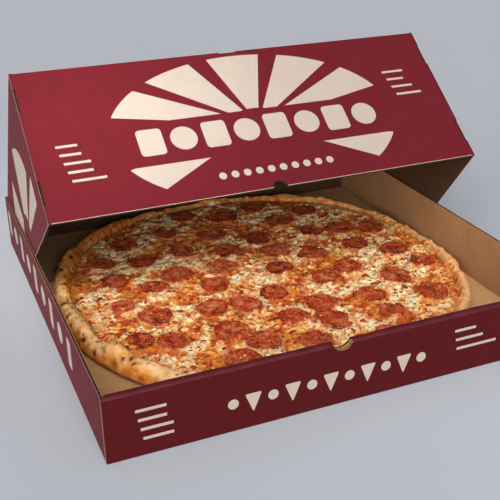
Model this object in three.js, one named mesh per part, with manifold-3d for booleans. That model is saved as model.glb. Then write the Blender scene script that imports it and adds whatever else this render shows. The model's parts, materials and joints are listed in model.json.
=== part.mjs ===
// A takeaway pizza in its open corrugated box: a shallow square tray with a rolled front wall, a lid
// folded across its middle into a hood with two side flaps, and one whole pepperoni pizza.
// Millimetres, +Z up. The box is laid out from the tray's front left corner on the table: X to the
// right, Y to the back. The last lines move it so that the origin is the middle of the footprint.

import * as THREE from 'three';
import { mergeVertices } from 'three/addons/utils/BufferGeometryUtils.js';
import Module from 'manifold-3d';

const wasm = await Module();
wasm.setup();

// ---- driving dimensions ----
const BOX = 530; // outer width and depth of the tray
const WALL_H = 72; // height of the tray's walls
const BOARD = 3; // thickness of the corrugated board
const GAP = 0.3; // gap between pieces that touch
const FRONT_T = 10; // thickness of the rolled-over front wall
const ROLL_R = 3.5; // rounding of the front wall's rolled top
const CORNER_SLIT = 1.6; // open slit between the front wall and each side wall
const NOTCH_X = 244; // thumb notch of the front wall, along X
const NOTCH_R = 11.5;

const RIDGE = [363, 281]; // the lid's middle fold, seen from the side as [y, z]
const LID_EDGE = [201.5, 160]; // the lid's free front edge
const HINGE = [BOX, WALL_H]; // the lid's rear fold, on top of the rear wall
const LID_X = 3.5; // left face of the lid, just inside the tray's left wall
const FLAP_FOOT_Y = { left: 321, right: 268 }; // where each flap's front edge passes the wall's top
const FLAP_BASE_Z = 30; // lowest point of the flaps
const FLAP_HINGE_CLEARANCE = 4; // how far the flaps end short of the rear fold
const LID_NOTCH_R = 9;
const SLOT = { length: 31, depth: 1.5 }; // open slots along the flaps' creases
const SLOT_CENTRES = [0.19, 0.81]; // where the slots are, from the ridge to the lid's edge
const RIDGE_SLOT = { length: 22, width: 3 }; // small open slot in the middle of the ridge

const PIZZA = { x: 269.5, y: 268.6, radius: 261.5 };
const SQUARED = 5.5; // how much farther the edge reaches towards the box's corners than on average
const RIM = { height: 23, width: 19 }; // the crust's raised rim, on average
const RIM_VARIES = { height: 0.16, width: 0.42 }; // how much more of each stands on the wide side
const RIM_WIDE_AT = THREE.MathUtils.degToRad(225); // the rim is widest towards the front left
const RIM_FOOT = 1.05; // where the rim's inner face meets the dough, in rim widths from the edge
const RIM_BELLY = 0.42; // the rim's widest line, as a share of its height
const RIM_UNDERCUT = 0.4; // how far its underside falls from that line, as a share of its height
const RIM_TURN = { from: -72, step: 20, count: 12 }; // degrees round the rim's section
// Slow waves round the pizza, each as [size, how many, start]: of the edge in millimetres, and of
// the rim as a share of its size.
const EDGE_WAVES = [[1.2, 2, -2 * RIM_WIDE_AT], [-0.9, 3, 0.6], [0.5, 7, 2]];
const RIM_WAVES = [[0.05, 5, 1], [0.04, 11, 2.5]];
const DOUGH_T = 10; // dough under the topping
const DOUGH_RING = 0.5; // a ring of points in the dough's middle, as a share of the edge
const CHEESE_T = 5.5; // sauce and cheese layer
const CHEESE_RINGS = [0.85, 0.6, 0.3]; // rings of points on the topping, as shares of its edge
const CHEESE_LIP = { inset: 1, rise: 1.5, slope: 4, drop: 1 }; // the topping's rounded border
const CHEESE_DIP = 0.6; // how far the topping's middle lies below its highest
const RIPPLE = 0.5; // height of the topping's waves
const SLICE = { radius: 20, spread: 2.5, thickness: 2.6, count: 48 };
const SLICE_JITTER = 11; // how far a slice may lie from its place in the even spiral
const SLICE_DISH = [0.4, 1.3]; // how far slices' edges curl up, least and most
const SLICE_SPACE = 1; // least space between two slices, and from a slice to the rim
const GOLDEN_ANGLE = Math.PI * (3 - Math.sqrt(5));

const RIM_STEPS = 60;
const SLICE_STEPS = 14;
const SPREADING_ROUNDS = 60;

// ---- small helpers ----
const colours = {
  print: [0x7f2a33, 0.6],
  kraft: [0xb58f63, 0.85],
  crust: [0xd9a766, 0.75],
  cheese: [0xe6b873, 0.5],
  pepperoni: [0xa63a22, 0.4],
};

function material(kind) {
  const [color, roughness] = colours[kind];
  return new THREE.MeshStandardMaterial({ color, roughness, metalness: 0 });
}

function mesh(name, geometry, kind) {
  const result = new THREE.Mesh(geometry, material(kind));
  result.name = name;
  return result;
}

// Repeatable numbers from 0 to 1.
function makeRandom(seed) {
  let state = seed;
  return () => {
    state = (state * 1664525 + 1013904223) % 4294967296;
    return state / 4294967296;
  };
}

// Plane vectors in the side view, as [y, z].
const along = (a, b) => {
  const length = Math.hypot(b[0] - a[0], b[1] - a[1]);
  return [(b[0] - a[0]) / length, (b[1] - a[1]) / length];
};
const move = (p, direction, far) => [p[0] + direction[0] * far, p[1] + direction[1] * far];
const distance = (a, b) => Math.hypot(b[0] - a[0], b[1] - a[1]);

// A flat outline in the side view, [y, z] points in order, carried along X from x0 to x1.
function sidePrism(points, x0, x1) {
  const shape = new THREE.Shape(points.map(([y, z]) => new THREE.Vector2(y, z)));
  const geometry = new THREE.ExtrudeGeometry(shape, { depth: x1 - x0, bevelEnabled: false });
  // The extrusion's own X, Y and Z are the part's Y, Z and X.
  const turn = new THREE.Matrix4().makeBasis(
    new THREE.Vector3(0, 1, 0),
    new THREE.Vector3(0, 0, 1),
    new THREE.Vector3(1, 0, 0),
  );
  geometry.applyMatrix4(turn);
  geometry.translate(x0, 0, 0);
  return geometry;
}

function block(x0, x1, y0, y1, z0, z1) {
  const geometry = new THREE.BoxGeometry(x1 - x0, y1 - y0, z1 - z0);
  geometry.translate((x0 + x1) / 2, (y0 + y1) / 2, (z0 + z1) / 2);
  return geometry;
}

function toSolid(geometry) {
  const bare = geometry.clone();
  bare.deleteAttribute('normal');
  bare.deleteAttribute('uv');
  const merged = mergeVertices(bare, 1e-4);
  return new wasm.Manifold(new wasm.Mesh({
    numProp: 3,
    vertProperties: new Float32Array(merged.attributes.position.array),
    triVerts: new Uint32Array(merged.index.array),
  }));
}

// The first geometry with all the others cut out of it.
function cut(geometry, ...cutters) {
  const solid = cutters.reduce((left, cutter) => left.subtract(toSolid(cutter)), toSolid(geometry));
  const { vertProperties, triVerts } = solid.getMesh();
  const result = new THREE.BufferGeometry();
  result.setAttribute('position', new THREE.BufferAttribute(new Float32Array(vertProperties), 3));
  result.setIndex(new THREE.BufferAttribute(new Uint32Array(triVerts), 1));
  return result;
}

// ---- tray ----
function frontWallOutline() {
  const inner = FRONT_T - BOARD;
  const shoulder = WALL_H - ROLL_R;
  const arc = (centre, from, to) => [0, 1, 2, 3, 4].map((step) => {
    const angle = THREE.MathUtils.degToRad(from + (to - from) * step / 4);
    return [centre + ROLL_R * Math.cos(angle), shoulder + ROLL_R * Math.sin(angle)];
  });
  return [
    [0, 0],
    ...arc(ROLL_R, 180, 90),
    ...arc(FRONT_T - ROLL_R, 90, 0),
    [FRONT_T, BOARD + GAP],
    [inner, BOARD + GAP],
    [inner, WALL_H - BOARD],
    [BOARD, WALL_H - BOARD],
    [BOARD, 0],
  ];
}

function frontWall() {
  const cornerCut = (x0, x1) => block(x0, x1, BOARD, FRONT_T + 1, -1, WALL_H + 1);
  const notch = new THREE.CylinderGeometry(NOTCH_R, NOTCH_R, FRONT_T + 4, 32);
  notch.translate(NOTCH_X, FRONT_T / 2, WALL_H + 1);
  return cut(
    sidePrism(frontWallOutline(), 0, BOX),
    cornerCut(-1, BOARD + GAP),
    cornerCut(BOX - BOARD - GAP, BOX + 1),
    notch,
  );
}

function tray() {
  const inside = BOARD + GAP;
  const sideStart = BOARD + CORNER_SLIT;
  const sideEnd = BOX - BOARD - GAP;
  return [
    mesh('tray_floor', block(inside, BOX - inside, inside, BOX - inside, 0, BOARD), 'kraft'),
    mesh('tray_front_wall', frontWall(), 'print'),
    mesh('tray_left_wall', block(0, BOARD, sideStart, sideEnd, 0, WALL_H), 'print'),
    mesh('tray_right_wall', block(BOX - BOARD, BOX, sideStart, sideEnd, 0, WALL_H), 'print'),
    mesh('tray_rear_wall', block(0, BOX, BOX - BOARD, BOX, 0, WALL_H), 'print'),
  ];
}

// ---- lid ----
const rearDown = along(RIDGE, HINGE); // down the rear half
const frontDown = along(RIDGE, LID_EDGE); // down the front half
const rearInward = [rearDown[1], -rearDown[0]];
const frontInward = [-frontDown[1], frontDown[0]];
const LID_END_X = LID_X + BOX;
const PANEL_X0 = LID_X + BOARD + GAP;
const PANEL_X1 = LID_END_X - BOARD - GAP;

// How far a mitred board's inner face stops short of its outer face's end at the ridge.
function ridgeMitre() {
  const half = Math.acos(rearDown[0] * frontDown[0] + rearDown[1] * frontDown[1]) / 2;
  return BOARD / Math.tan(half);
}

function rearPanelOutline() {
  const top = move(RIDGE, rearDown, GAP);
  const foot = move(HINGE, rearDown, -2 * GAP);
  return [
    top,
    move(move(top, rearDown, ridgeMitre()), rearInward, BOARD),
    move(move(foot, rearDown, -BOARD), rearInward, BOARD),
    foot,
  ];
}

function topPanelOutline() {
  const top = move(RIDGE, frontDown, GAP);
  return [
    top,
    LID_EDGE,
    move(LID_EDGE, frontInward, BOARD),
    move(move(top, frontDown, ridgeMitre()), frontInward, BOARD),
  ];
}

// The half-round thumb notch goes straight through the board at the middle of its free edge.
function lidNotchCutter() {
  const cutter = new THREE.CylinderGeometry(LID_NOTCH_R, LID_NOTCH_R, 4 * BOARD, 24);
  cutter.rotateX(Math.atan2(frontInward[1], frontInward[0]));
  const middle = move(LID_EDGE, frontInward, BOARD / 2);
  cutter.translate((LID_X + LID_END_X) / 2, middle[0], middle[1]);
  return cutter;
}

function ridgeSlotCutter(direction) {
  const middle = (LID_X + LID_END_X) / 2;
  const reach = direction === rearDown ? rearInward : frontInward;
  const width = RIDGE_SLOT.width;
  const outer = move(RIDGE, reach, -1);
  const inner = move(RIDGE, reach, 2 * BOARD);
  const slot = [
    move(outer, direction, -width),
    move(outer, direction, width),
    move(inner, direction, width),
    move(inner, direction, -width),
  ];
  return sidePrism(slot, middle - RIDGE_SLOT.length / 2, middle + RIDGE_SLOT.length / 2);
}

// A flap's outline: the lid's front slope, the rear slope, an arc about the ridge that lets it swing
// clear of the floor, its base, and its slanting front edge.
function flapOutline(footY) {
  const heel = move(HINGE, rearDown, -FLAP_HINGE_CLEARANCE);
  const reach = distance(RIDGE, heel);
  const start = Math.atan2(heel[1] - RIDGE[1], heel[0] - RIDGE[0]);
  const end = Math.asin((FLAP_BASE_Z - RIDGE[1]) / reach);
  const arc = [1, 2, 3, 4, 5].map((step) => {
    const angle = start + (end - start) * step / 5;
    return [RIDGE[0] + reach * Math.cos(angle), RIDGE[1] + reach * Math.sin(angle)];
  });
  const slant = (footY - LID_EDGE[0]) / (LID_EDGE[1] - WALL_H);
  const toe = [LID_EDGE[0] + slant * (LID_EDGE[1] - FLAP_BASE_Z), FLAP_BASE_Z];
  return [RIDGE, LID_EDGE, toe, ...arc.reverse(), heel];
}

// Open slots in a flap's top edge, along its crease with the lid.
function flapSlotCutters(x0, x1) {
  const length = distance(RIDGE, LID_EDGE);
  return SLOT_CENTRES.map((share) => {
    const from = move(RIDGE, frontDown, share * length - SLOT.length / 2);
    const to = move(from, frontDown, SLOT.length);
    const slot = [
      move(from, frontInward, -1),
      move(to, frontInward, -1),
      move(to, frontInward, SLOT.depth),
      move(from, frontInward, SLOT.depth),
    ];
    return sidePrism(slot, x0 - 1, x1 + 1);
  });
}

function flap(name, x0, footY) {
  const geometry = sidePrism(flapOutline(footY), x0, x0 + BOARD);
  return mesh(name, cut(geometry, ...flapSlotCutters(x0, x0 + BOARD)), 'print');
}

function lid() {
  const rear = sidePrism(rearPanelOutline(), PANEL_X0, PANEL_X1);
  const top = sidePrism(topPanelOutline(), PANEL_X0, PANEL_X1);
  return [
    mesh('lid_rear_panel', cut(rear, ridgeSlotCutter(rearDown)), 'print'),
    mesh('lid_top_panel', cut(top, ridgeSlotCutter(frontDown), lidNotchCutter()), 'print'),
    flap('lid_left_flap', LID_X, FLAP_FOOT_Y.left),
    flap('lid_right_flap', LID_END_X - BOARD, FLAP_FOOT_Y.right),
  ];
}

// ---- pizza ----
function waves(list, angle) {
  return list.reduce((sum, [size, number, start]) => sum + size * Math.cos(number * angle + start), 0);
}

// The crust fills the box: a round drawn out towards the corners, with slow waves.
function outline(angle) {
  return PIZZA.radius - SQUARED * Math.cos(4 * angle) + waves(EDGE_WAVES, angle);
}

// The rim is widest and highest at the front left, with small uneven swellings all round.
function rimSize(which, angle) {
  const swell = RIM_VARIES[which] * Math.cos(angle - RIM_WIDE_AT) + waves(RIM_WAVES, angle);
  return RIM[which] * (1 + swell);
}

const rimFoot = (angle) => outline(angle) - rimSize('width', angle) * RIM_FOOT;

const FLOOR_Z = BOARD + GAP;
const DOUGH_Z = FLOOR_Z + DOUGH_T;
const CHEESE_Z = DOUGH_Z + GAP + CHEESE_T;

// One section of the crust from the axis underneath, round the rim, to the axis on top.
function crustSection(angle) {
  const edge = outline(angle);
  const width = rimSize('width', angle);
  const height = rimSize('height', angle);
  const middle = edge - width / 2;
  const belly = FLOOR_Z + height * RIM_BELLY;
  const rim = Array.from({ length: RIM_TURN.count }, (_, step) => {
    const turn = THREE.MathUtils.degToRad(RIM_TURN.from + step * RIM_TURN.step);
    const rise = height * (Math.sin(turn) > 0 ? 1 - RIM_BELLY : RIM_UNDERCUT);
    return [middle + width / 2 * Math.cos(turn), belly + rise * Math.sin(turn)];
  });
  return [
    [0, FLOOR_Z],
    [edge * DOUGH_RING, FLOOR_Z],
    [middle - GAP, FLOOR_Z],
    ...rim,
    [rimFoot(angle), DOUGH_Z],
    [edge * DOUGH_RING, DOUGH_Z],
    [0, DOUGH_Z],
  ];
}

// The topping's own section: a disc that stops just short of the rim.
function cheeseSection(angle) {
  const edge = rimFoot(angle) - GAP;
  const ripple = (share) => RIPPLE * Math.sin(9 * angle + 7 * share) * Math.sin(13 * share);
  const base = DOUGH_Z + GAP;
  const middle = CHEESE_Z - CHEESE_DIP;
  return [
    [0, base],
    [edge * DOUGH_RING, base],
    [edge - CHEESE_LIP.inset, base],
    [edge, base + CHEESE_LIP.rise],
    [edge - CHEESE_LIP.slope, CHEESE_Z - CHEESE_LIP.drop],
    ...CHEESE_RINGS.map((share) => [edge * share, middle + ripple(share)]),
    [0, middle],
  ];
}

// A closed body from sections round the Z axis. A section starts and ends on the axis.
function turned(section, steps) {
  const positions = [];
  const faces = [];
  const first = section(0);
  const rings = first.length - 2;
  positions.push(0, 0, first[0][1]);
  for (let step = 0; step < steps; step += 1) {
    const angle = step / steps * 2 * Math.PI;
    section(angle).slice(1, -1).forEach(([radius, z]) => {
      positions.push(radius * Math.cos(angle), radius * Math.sin(angle), z);
    });
  }
  positions.push(0, 0, first[first.length - 1][1]);
  const top = steps * rings + 1;
  const at = (step, ring) => 1 + (step % steps) * rings + ring;
  for (let step = 0; step < steps; step += 1) {
    faces.push(0, at(step + 1, 0), at(step, 0));
    for (let ring = 0; ring < rings - 1; ring += 1) {
      const corners = [at(step, ring), at(step + 1, ring), at(step + 1, ring + 1), at(step, ring + 1)];
      faces.push(corners[0], corners[1], corners[2], corners[0], corners[2], corners[3]);
    }
    faces.push(top, at(step, rings - 1), at(step + 1, rings - 1));
  }
  const geometry = new THREE.BufferGeometry();
  geometry.setAttribute('position', new THREE.Float32BufferAttribute(positions, 3));
  geometry.setIndex(faces);
  return geometry;
}

// A pepperoni slice: a thin disc whose edge curls up by the dish and is cut back, above and below.
function sliceGeometry(radius, dish) {
  const half = SLICE.thickness / 2;
  const [flat, edge] = [radius * 0.7, radius * 0.97];
  const cutBack = half * 0.6;
  const section = () => [
    [0, -half],
    [flat, -half + dish * 0.3],
    [edge, dish - cutBack],
    [radius, dish + cutBack],
    [flat, half + dish * 0.3],
    [0, half],
  ];
  return turned(section, SLICE_STEPS);
}

// Slices lie in an even spiral, each moved a little, as scattered by hand.
function scatteredSlices(random) {
  return Array.from({ length: SLICE.count }, (_, index) => {
    const radius = SLICE.radius + (random() - 0.5) * 2 * SLICE.spread;
    const angle = index * GOLDEN_ANGLE;
    const share = Math.sqrt((index + 0.4) / (SLICE.count - 0.5));
    const reach = (rimFoot(angle) - radius) * share;
    const x = reach * Math.cos(angle) + (random() - 0.5) * 2 * SLICE_JITTER;
    const y = reach * Math.sin(angle) + (random() - 0.5) * 2 * SLICE_JITTER;
    return { x, y, radius };
  });
}

// Two slices that would lie on each other are moved apart.
function separate(a, b) {
  const apart = Math.hypot(b.x - a.x, b.y - a.y);
  const push = (a.radius + b.radius + SLICE_SPACE - apart) / 2;
  if (push <= 0) return;
  const [dx, dy] = [(b.x - a.x) / apart * push, (b.y - a.y) / apart * push];
  a.x -= dx;
  a.y -= dy;
  b.x += dx;
  b.y += dy;
}

function keepInsideRim(slice) {
  const limit = rimFoot(Math.atan2(slice.y, slice.x)) - slice.radius - SLICE_SPACE;
  const hold = Math.min(1, limit / Math.hypot(slice.x, slice.y));
  slice.x *= hold;
  slice.y *= hold;
}

function sliceLayout(random) {
  const layout = scatteredSlices(random);
  for (let round = 0; round < SPREADING_ROUNDS; round += 1) {
    layout.forEach((a, index) => layout.slice(index + 1).forEach((b) => separate(a, b)));
    layout.forEach(keepInsideRim);
  }
  return layout;
}

function slices() {
  const random = makeRandom(7);
  const rest = CHEESE_Z + GAP + SLICE.thickness / 2;
  return sliceLayout(random).map(({ x, y, radius }, index) => {
    const name = `pepperoni_${String(index + 1).padStart(2, '0')}`;
    const dish = THREE.MathUtils.lerp(...SLICE_DISH, random());
    const slice = mesh(name, sliceGeometry(radius, dish), 'pepperoni');
    slice.position.set(x, y, rest);
    slice.rotation.z = random() * Math.PI;
    return slice;
  });
}

function pizza() {
  const group = new THREE.Group();
  group.add(mesh('pizza_crust', turned(crustSection, RIM_STEPS), 'crust'));
  group.add(mesh('pizza_cheese', turned(cheeseSection, RIM_STEPS), 'cheese'));
  slices().forEach((slice) => group.add(slice));
  group.position.set(PIZZA.x, PIZZA.y, 0);
  return group;
}

// ---- the whole, with its origin under the middle of its footprint ----
const group = new THREE.Group();
const box = new THREE.Group();
tray().forEach((piece) => box.add(piece));
lid().forEach((piece) => box.add(piece));
box.add(pizza());
box.position.set(-LID_END_X / 2, -BOX / 2, 0);
group.add(box);

export default group;
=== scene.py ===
"""A takeaway pizza in its open corrugated box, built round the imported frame.

Lengths are in metres. MM turns a maker's millimetres into metres. Every new piece is a function of
two parameters on a grid, worked out as whole arrays and closed into a solid.
"""

import json
import math

import bpy
import numpy as np
from bpy.props import FloatProperty, FloatVectorProperty, IntProperty, PointerProperty
from mathutils import Matrix, Vector


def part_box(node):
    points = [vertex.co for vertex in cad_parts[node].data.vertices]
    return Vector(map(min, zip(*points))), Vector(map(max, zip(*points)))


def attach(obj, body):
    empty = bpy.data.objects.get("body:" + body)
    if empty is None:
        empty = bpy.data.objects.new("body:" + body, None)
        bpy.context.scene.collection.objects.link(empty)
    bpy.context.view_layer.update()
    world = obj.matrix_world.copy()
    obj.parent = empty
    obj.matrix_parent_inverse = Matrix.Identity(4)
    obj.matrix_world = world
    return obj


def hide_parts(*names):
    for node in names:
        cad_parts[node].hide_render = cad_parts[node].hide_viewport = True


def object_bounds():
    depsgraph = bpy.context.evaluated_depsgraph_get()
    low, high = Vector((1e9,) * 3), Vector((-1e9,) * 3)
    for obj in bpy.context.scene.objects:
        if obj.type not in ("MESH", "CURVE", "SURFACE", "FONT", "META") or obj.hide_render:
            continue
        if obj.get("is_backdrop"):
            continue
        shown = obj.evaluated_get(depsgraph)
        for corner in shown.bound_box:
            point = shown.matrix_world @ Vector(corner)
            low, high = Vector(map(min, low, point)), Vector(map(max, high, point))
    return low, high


bl_info = {
    "name": "Pizza in its takeaway box",
    "version": (1, 0, 0),
    "blender": (4, 5, 0),
    "location": "View3D > Sidebar > Pizza box",
    "description": "Builds a corrugated takeaway box and the pizza in it, piece by piece",
    "category": "Add Mesh",
}

MM = 0.001
TURN = 2 * math.pi
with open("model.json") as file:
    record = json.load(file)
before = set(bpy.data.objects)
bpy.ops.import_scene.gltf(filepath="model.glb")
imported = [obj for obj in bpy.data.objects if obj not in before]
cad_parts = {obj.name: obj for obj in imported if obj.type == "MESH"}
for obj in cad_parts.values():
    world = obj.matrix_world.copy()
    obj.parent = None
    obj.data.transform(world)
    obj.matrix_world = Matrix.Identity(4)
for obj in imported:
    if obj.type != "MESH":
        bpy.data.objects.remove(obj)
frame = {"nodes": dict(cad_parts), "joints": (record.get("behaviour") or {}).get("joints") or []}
CAD_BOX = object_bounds()


# ---- numbers that come from the frame ----
def node_box(name):
    """Lowest and highest corner of a frame node, as arrays in metres."""
    low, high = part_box(name)
    return np.array(low), np.array(high)


def joint_place(name):
    """Where a joint's axis is, as [y, z] in the side view."""
    found = next(joint for joint in frame["joints"] if joint["name"] == name)
    return np.array(found["pos_m"][1:], float)


FRONT_LOW, FRONT_HIGH = node_box("tray_front_wall")
REAR_LOW, REAR_HIGH = node_box("tray_rear_wall")
LEFT_LOW, LEFT_HIGH = node_box("tray_left_wall")
RIGHT_LOW, RIGHT_HIGH = node_box("tray_right_wall")
FLOOR_LOW, FLOOR_HIGH = node_box("tray_floor")
TOP_LOW, TOP_HIGH = node_box("lid_top_panel")
SLOPE_LOW, SLOPE_HIGH = node_box("lid_rear_panel")
BOARD = float(FLOOR_HIGH[2] - FLOOR_LOW[2])
GAP = float(FLOOR_LOW[0] - LEFT_HIGH[0])
HINGE = joint_place("lid_hinge")
RIDGE = joint_place("lid_crease")
CORNER = np.array([FRONT_LOW[0], FRONT_LOW[1], 0.0])
SLICE_NODES = sorted(name for name in frame["nodes"] if name.startswith("pepperoni_"))

# ---- the pizza's plan, in millimetres from its own middle ----
PIZZA_MIDDLE = CORNER + np.array([269.5, 268.6, 0.0]) * MM
PIZZA_RADIUS = 261.5
SQUARED = 5.5  # how much farther the edge reaches towards the box's corners than on average
RIM_HEIGHT, RIM_WIDTH = 22.0, 19.0
RIM_WIDE_AT = math.radians(225)
RIM_FAIR_AT = math.radians(-10)
CHEESE_CLIMBS_AT = math.radians(50)
UNDERSIDE = (BOARD + GAP) / MM
DOUGH_TOP = 13.3
CHEESE_LOW = 16.2  # the topping's level where the cheese is thin
SLICE_SINK = 2.1  # how far a slice lies below its node's top
SLICE_THICK, SLICE_THIN = 1.7, 1.1  # a slice's thickness, and how much less it is at its edge


def linear(code):
    """An sRGB hex colour as linear light: a straight line near black, then the 2.4 power curve. A
    colour that isn't a code is linear light already."""
    if not isinstance(code, str):
        return np.array(code)
    value = np.array([int(code[i:i + 2], 16) for i in (1, 3, 5)]) / 255
    return np.where(value <= 0.04045, value / 12.92, ((value + 0.055) / 1.055) ** 2.4)


def colour(name, description, code):
    """A colour setting, whose default is an sRGB hex code."""
    return FloatVectorProperty(name=name, description=description, subtype="COLOR", size=3, min=0, max=1,
                               default=tuple(linear(code)))


def length(name, description, millimetres):
    """A length setting, whose default is in millimetres."""
    return FloatProperty(name=name, description=description, subtype="DISTANCE", unit="LENGTH", min=0,
                         default=millimetres * MM)


def count(name, description, default):
    """A setting that counts pieces."""
    return IntProperty(name=name, description=description, min=1, default=default)


class BoardSettings(bpy.types.PropertyGroup):
    """Sizes and colours of the corrugated board."""

    flute: length("Flute pitch", "Distance from one wave of the corrugated medium to the next", 6.4)
    liner: length("Liner", "Thickness of each outer paper", 0.45)
    medium: length("Medium", "Thickness of the waved paper", 0.3)
    lid_red: colour("Lid ink", "Colour printed on the lid and the tray's side and rear walls", "#601820")
    tray_red: colour("Front ink", "Colour printed on the tray's front wall, a darker run", "#4a0f13")
    # Paler ink on the roll: partly rubbed ink, partly a painted highlight.
    worn_and_highlit_red: colour("Worn ink", "Colour of the ink rubbed along the tray's rolled edge", "#54171f")
    tray_kraft: colour("Tray kraft", "Colour of the tray's bare brown liner", "#a97d55")
    # The floor's bare liner is paler than the walls': painted light.
    floor_kraft: colour("Floor kraft", "Colour of the bare liner on the tray's floor", "#c69a6c")
    # The lid's bare liner is darkened as painted shade for the inside of the hood; the tray's rear wall uses
    # it too.
    lid_kraft: colour("Lid kraft", "Colour of the lid's bare liner, a darker run", "#4c3421")
    # The waved paper's colour is darkened: painted shade for the cells of a cut edge.
    flutes: colour("Flutes", "Colour of the waved paper inside", "#4a3222")
    cream: colour("Cream ink", "Colour of the printed marks", "#ad9f93")
    bleached: colour("Bleached liner", "Colour of the printed liner's bare cut edges", "#bda79c")


class PizzaSettings(bpy.types.PropertyGroup):
    """Counts and colours of the pizza."""

    dough: colour("Pale dough", "Where the crust baked least", "#ffd096")
    golden: colour("Golden crust", "Most of the crust", "#f8a84f")
    brown: colour("Brown crust", "Toasted parts", "#c86c22")
    char: colour("Char", "Blisters that caught", "#2f1609")
    sauce: colour("Sauce", "Between the cheese", "#c4481a")
    oil: colour("Oil", "Pools of orange oil", "#f5a03a")
    cheese: colour("Cheese", "Thick melted cheese", "#fff0c8")
    meat: colour("Pepperoni", "Middle of a slice", "#bf4120")
    herb: colour("Herbs", "Dried flakes", "#4a3a1a")
    shreds: count("Shreds", "Cheese shreds strewn on the sauce", 5200)
    bits: count("Bits", "Diced red pieces between the slices", 420)
    flakes: count("Flakes", "Dried herb flakes", 3600)


class StageSettings(bpy.types.PropertyGroup):
    """Floor, light and camera."""

    floor: colour("Floor", "Plain pale floor", "#adb2ba")
    lens: FloatProperty(name="Lens", description="Focal length", subtype="DISTANCE_CAMERA", default=63.78)


# ---- making meshes ----
def grid_faces(rows, cols):
    """The quads of a grid whose points are numbered row by row."""
    index = np.arange(rows * cols).reshape(rows, cols)
    return np.stack([index[:-1, :-1], index[1:, :-1], index[1:, 1:], index[:-1, 1:]], -1).reshape(-1, 4)


def grid_border(rows, cols):
    """The points round a grid's border, from its first point back to it."""
    index = np.arange(rows * cols).reshape(rows, cols)
    return np.concatenate([index[:, 0], index[-1, 1:], index[-2::-1, -1], index[0, -2::-1]])


def shell(top, bottom):
    """Two matching grids closed into one solid: the top's quads, the bottom's turned over, and a
    strip round the border."""
    size = top.shape[:2]
    up, border, other = grid_faces(*size), grid_border(*size), size[0] * size[1]
    first, second = border[:-1], border[1:]
    side = np.stack([second, first, first + other, second + other], 1)
    return (np.concatenate([top.reshape(-1, 3), bottom.reshape(-1, 3)]),
            np.concatenate([up, up[:, ::-1] + other, side]))


def mound(top, base):
    """A grid of heights closed into a solid: a skirt from its border down to the base, and a fan of
    faces to the base's middle. The third result says which grid point each point was made from."""
    size = top.shape[:2]
    border, start = grid_border(*size)[:-1], size[0] * size[1]
    foot = top.reshape(-1, 3)[border].copy()
    foot[:, 2] = base
    low = start + np.arange(len(border))
    middle = np.full(len(border), start + len(border))
    side = np.stack([np.roll(border, -1), border, low, np.roll(low, -1)], 1)
    fan = np.stack([np.roll(low, -1), low, middle, middle], 1)
    centre = np.array([[*foot[:, :2].mean(0), base]])
    source = np.concatenate([np.arange(start), border, border[:1]])
    return (np.concatenate([top.reshape(-1, 3), foot, centre]),
            np.concatenate([grid_faces(*size), side, fan]), source)


def outward(points, faces):
    """The faces of a closed solid, all turned over if its signed volume is negative."""
    return faces if volume(points, faces) > 0 else faces[:, ::-1]


def join(parts):
    """Several closed solids, each (points, faces), as one, with every one's faces outwards."""
    starts = np.cumsum([0] + [len(points) for points, _ in parts[:-1]])
    return (np.concatenate([points for points, _ in parts]),
            np.concatenate([outward(*part) + start for part, start in zip(parts, starts)]))


def weld(points, faces):
    """Corners within a micrometre become one. Quads with two equal corners become triangles, and
    flat ones go, as do faces that meet their own copy inside the solid."""
    _, first, same = np.unique(np.round(points * 1e6).astype(np.int64), axis=0, return_index=True,
                               return_inverse=True)
    quads = same.ravel()[faces]
    closed = quads == np.roll(quads, -1, axis=1)
    number = closed.sum(1)
    whole = quads[number == 0]
    whole = whole[(whole[:, 0] != whole[:, 2]) & (whole[:, 1] != whole[:, 3])]
    pinched = quads[number == 1]
    order = (closed[number == 1].argmax(1)[:, None] + 1 + np.arange(3)) % 4
    pinched = np.take_along_axis(pinched, order, 1)
    pinched = pinched[(pinched[:, 0] != pinched[:, 2])]
    return first, lone(whole), lone(pinched)


def lone(faces):
    """The faces that share their corners with no other face."""
    if not len(faces):
        return faces
    _, same, number = np.unique(np.sort(faces, 1), axis=0, return_inverse=True, return_counts=True)
    return faces[number[same.ravel()] == 1]


def volume(points, faces):
    """Six times the signed volume inside the faces."""
    a, b, c = points[faces[:, 0]], points[faces[:, 1]], points[faces[:, 2]]
    total = np.einsum("ij,ij->", a, np.cross(b, c))
    if faces.shape[1] == 4:
        total += np.einsum("ij,ij->", a, np.cross(c, points[faces[:, 3]]))
    return total


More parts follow.
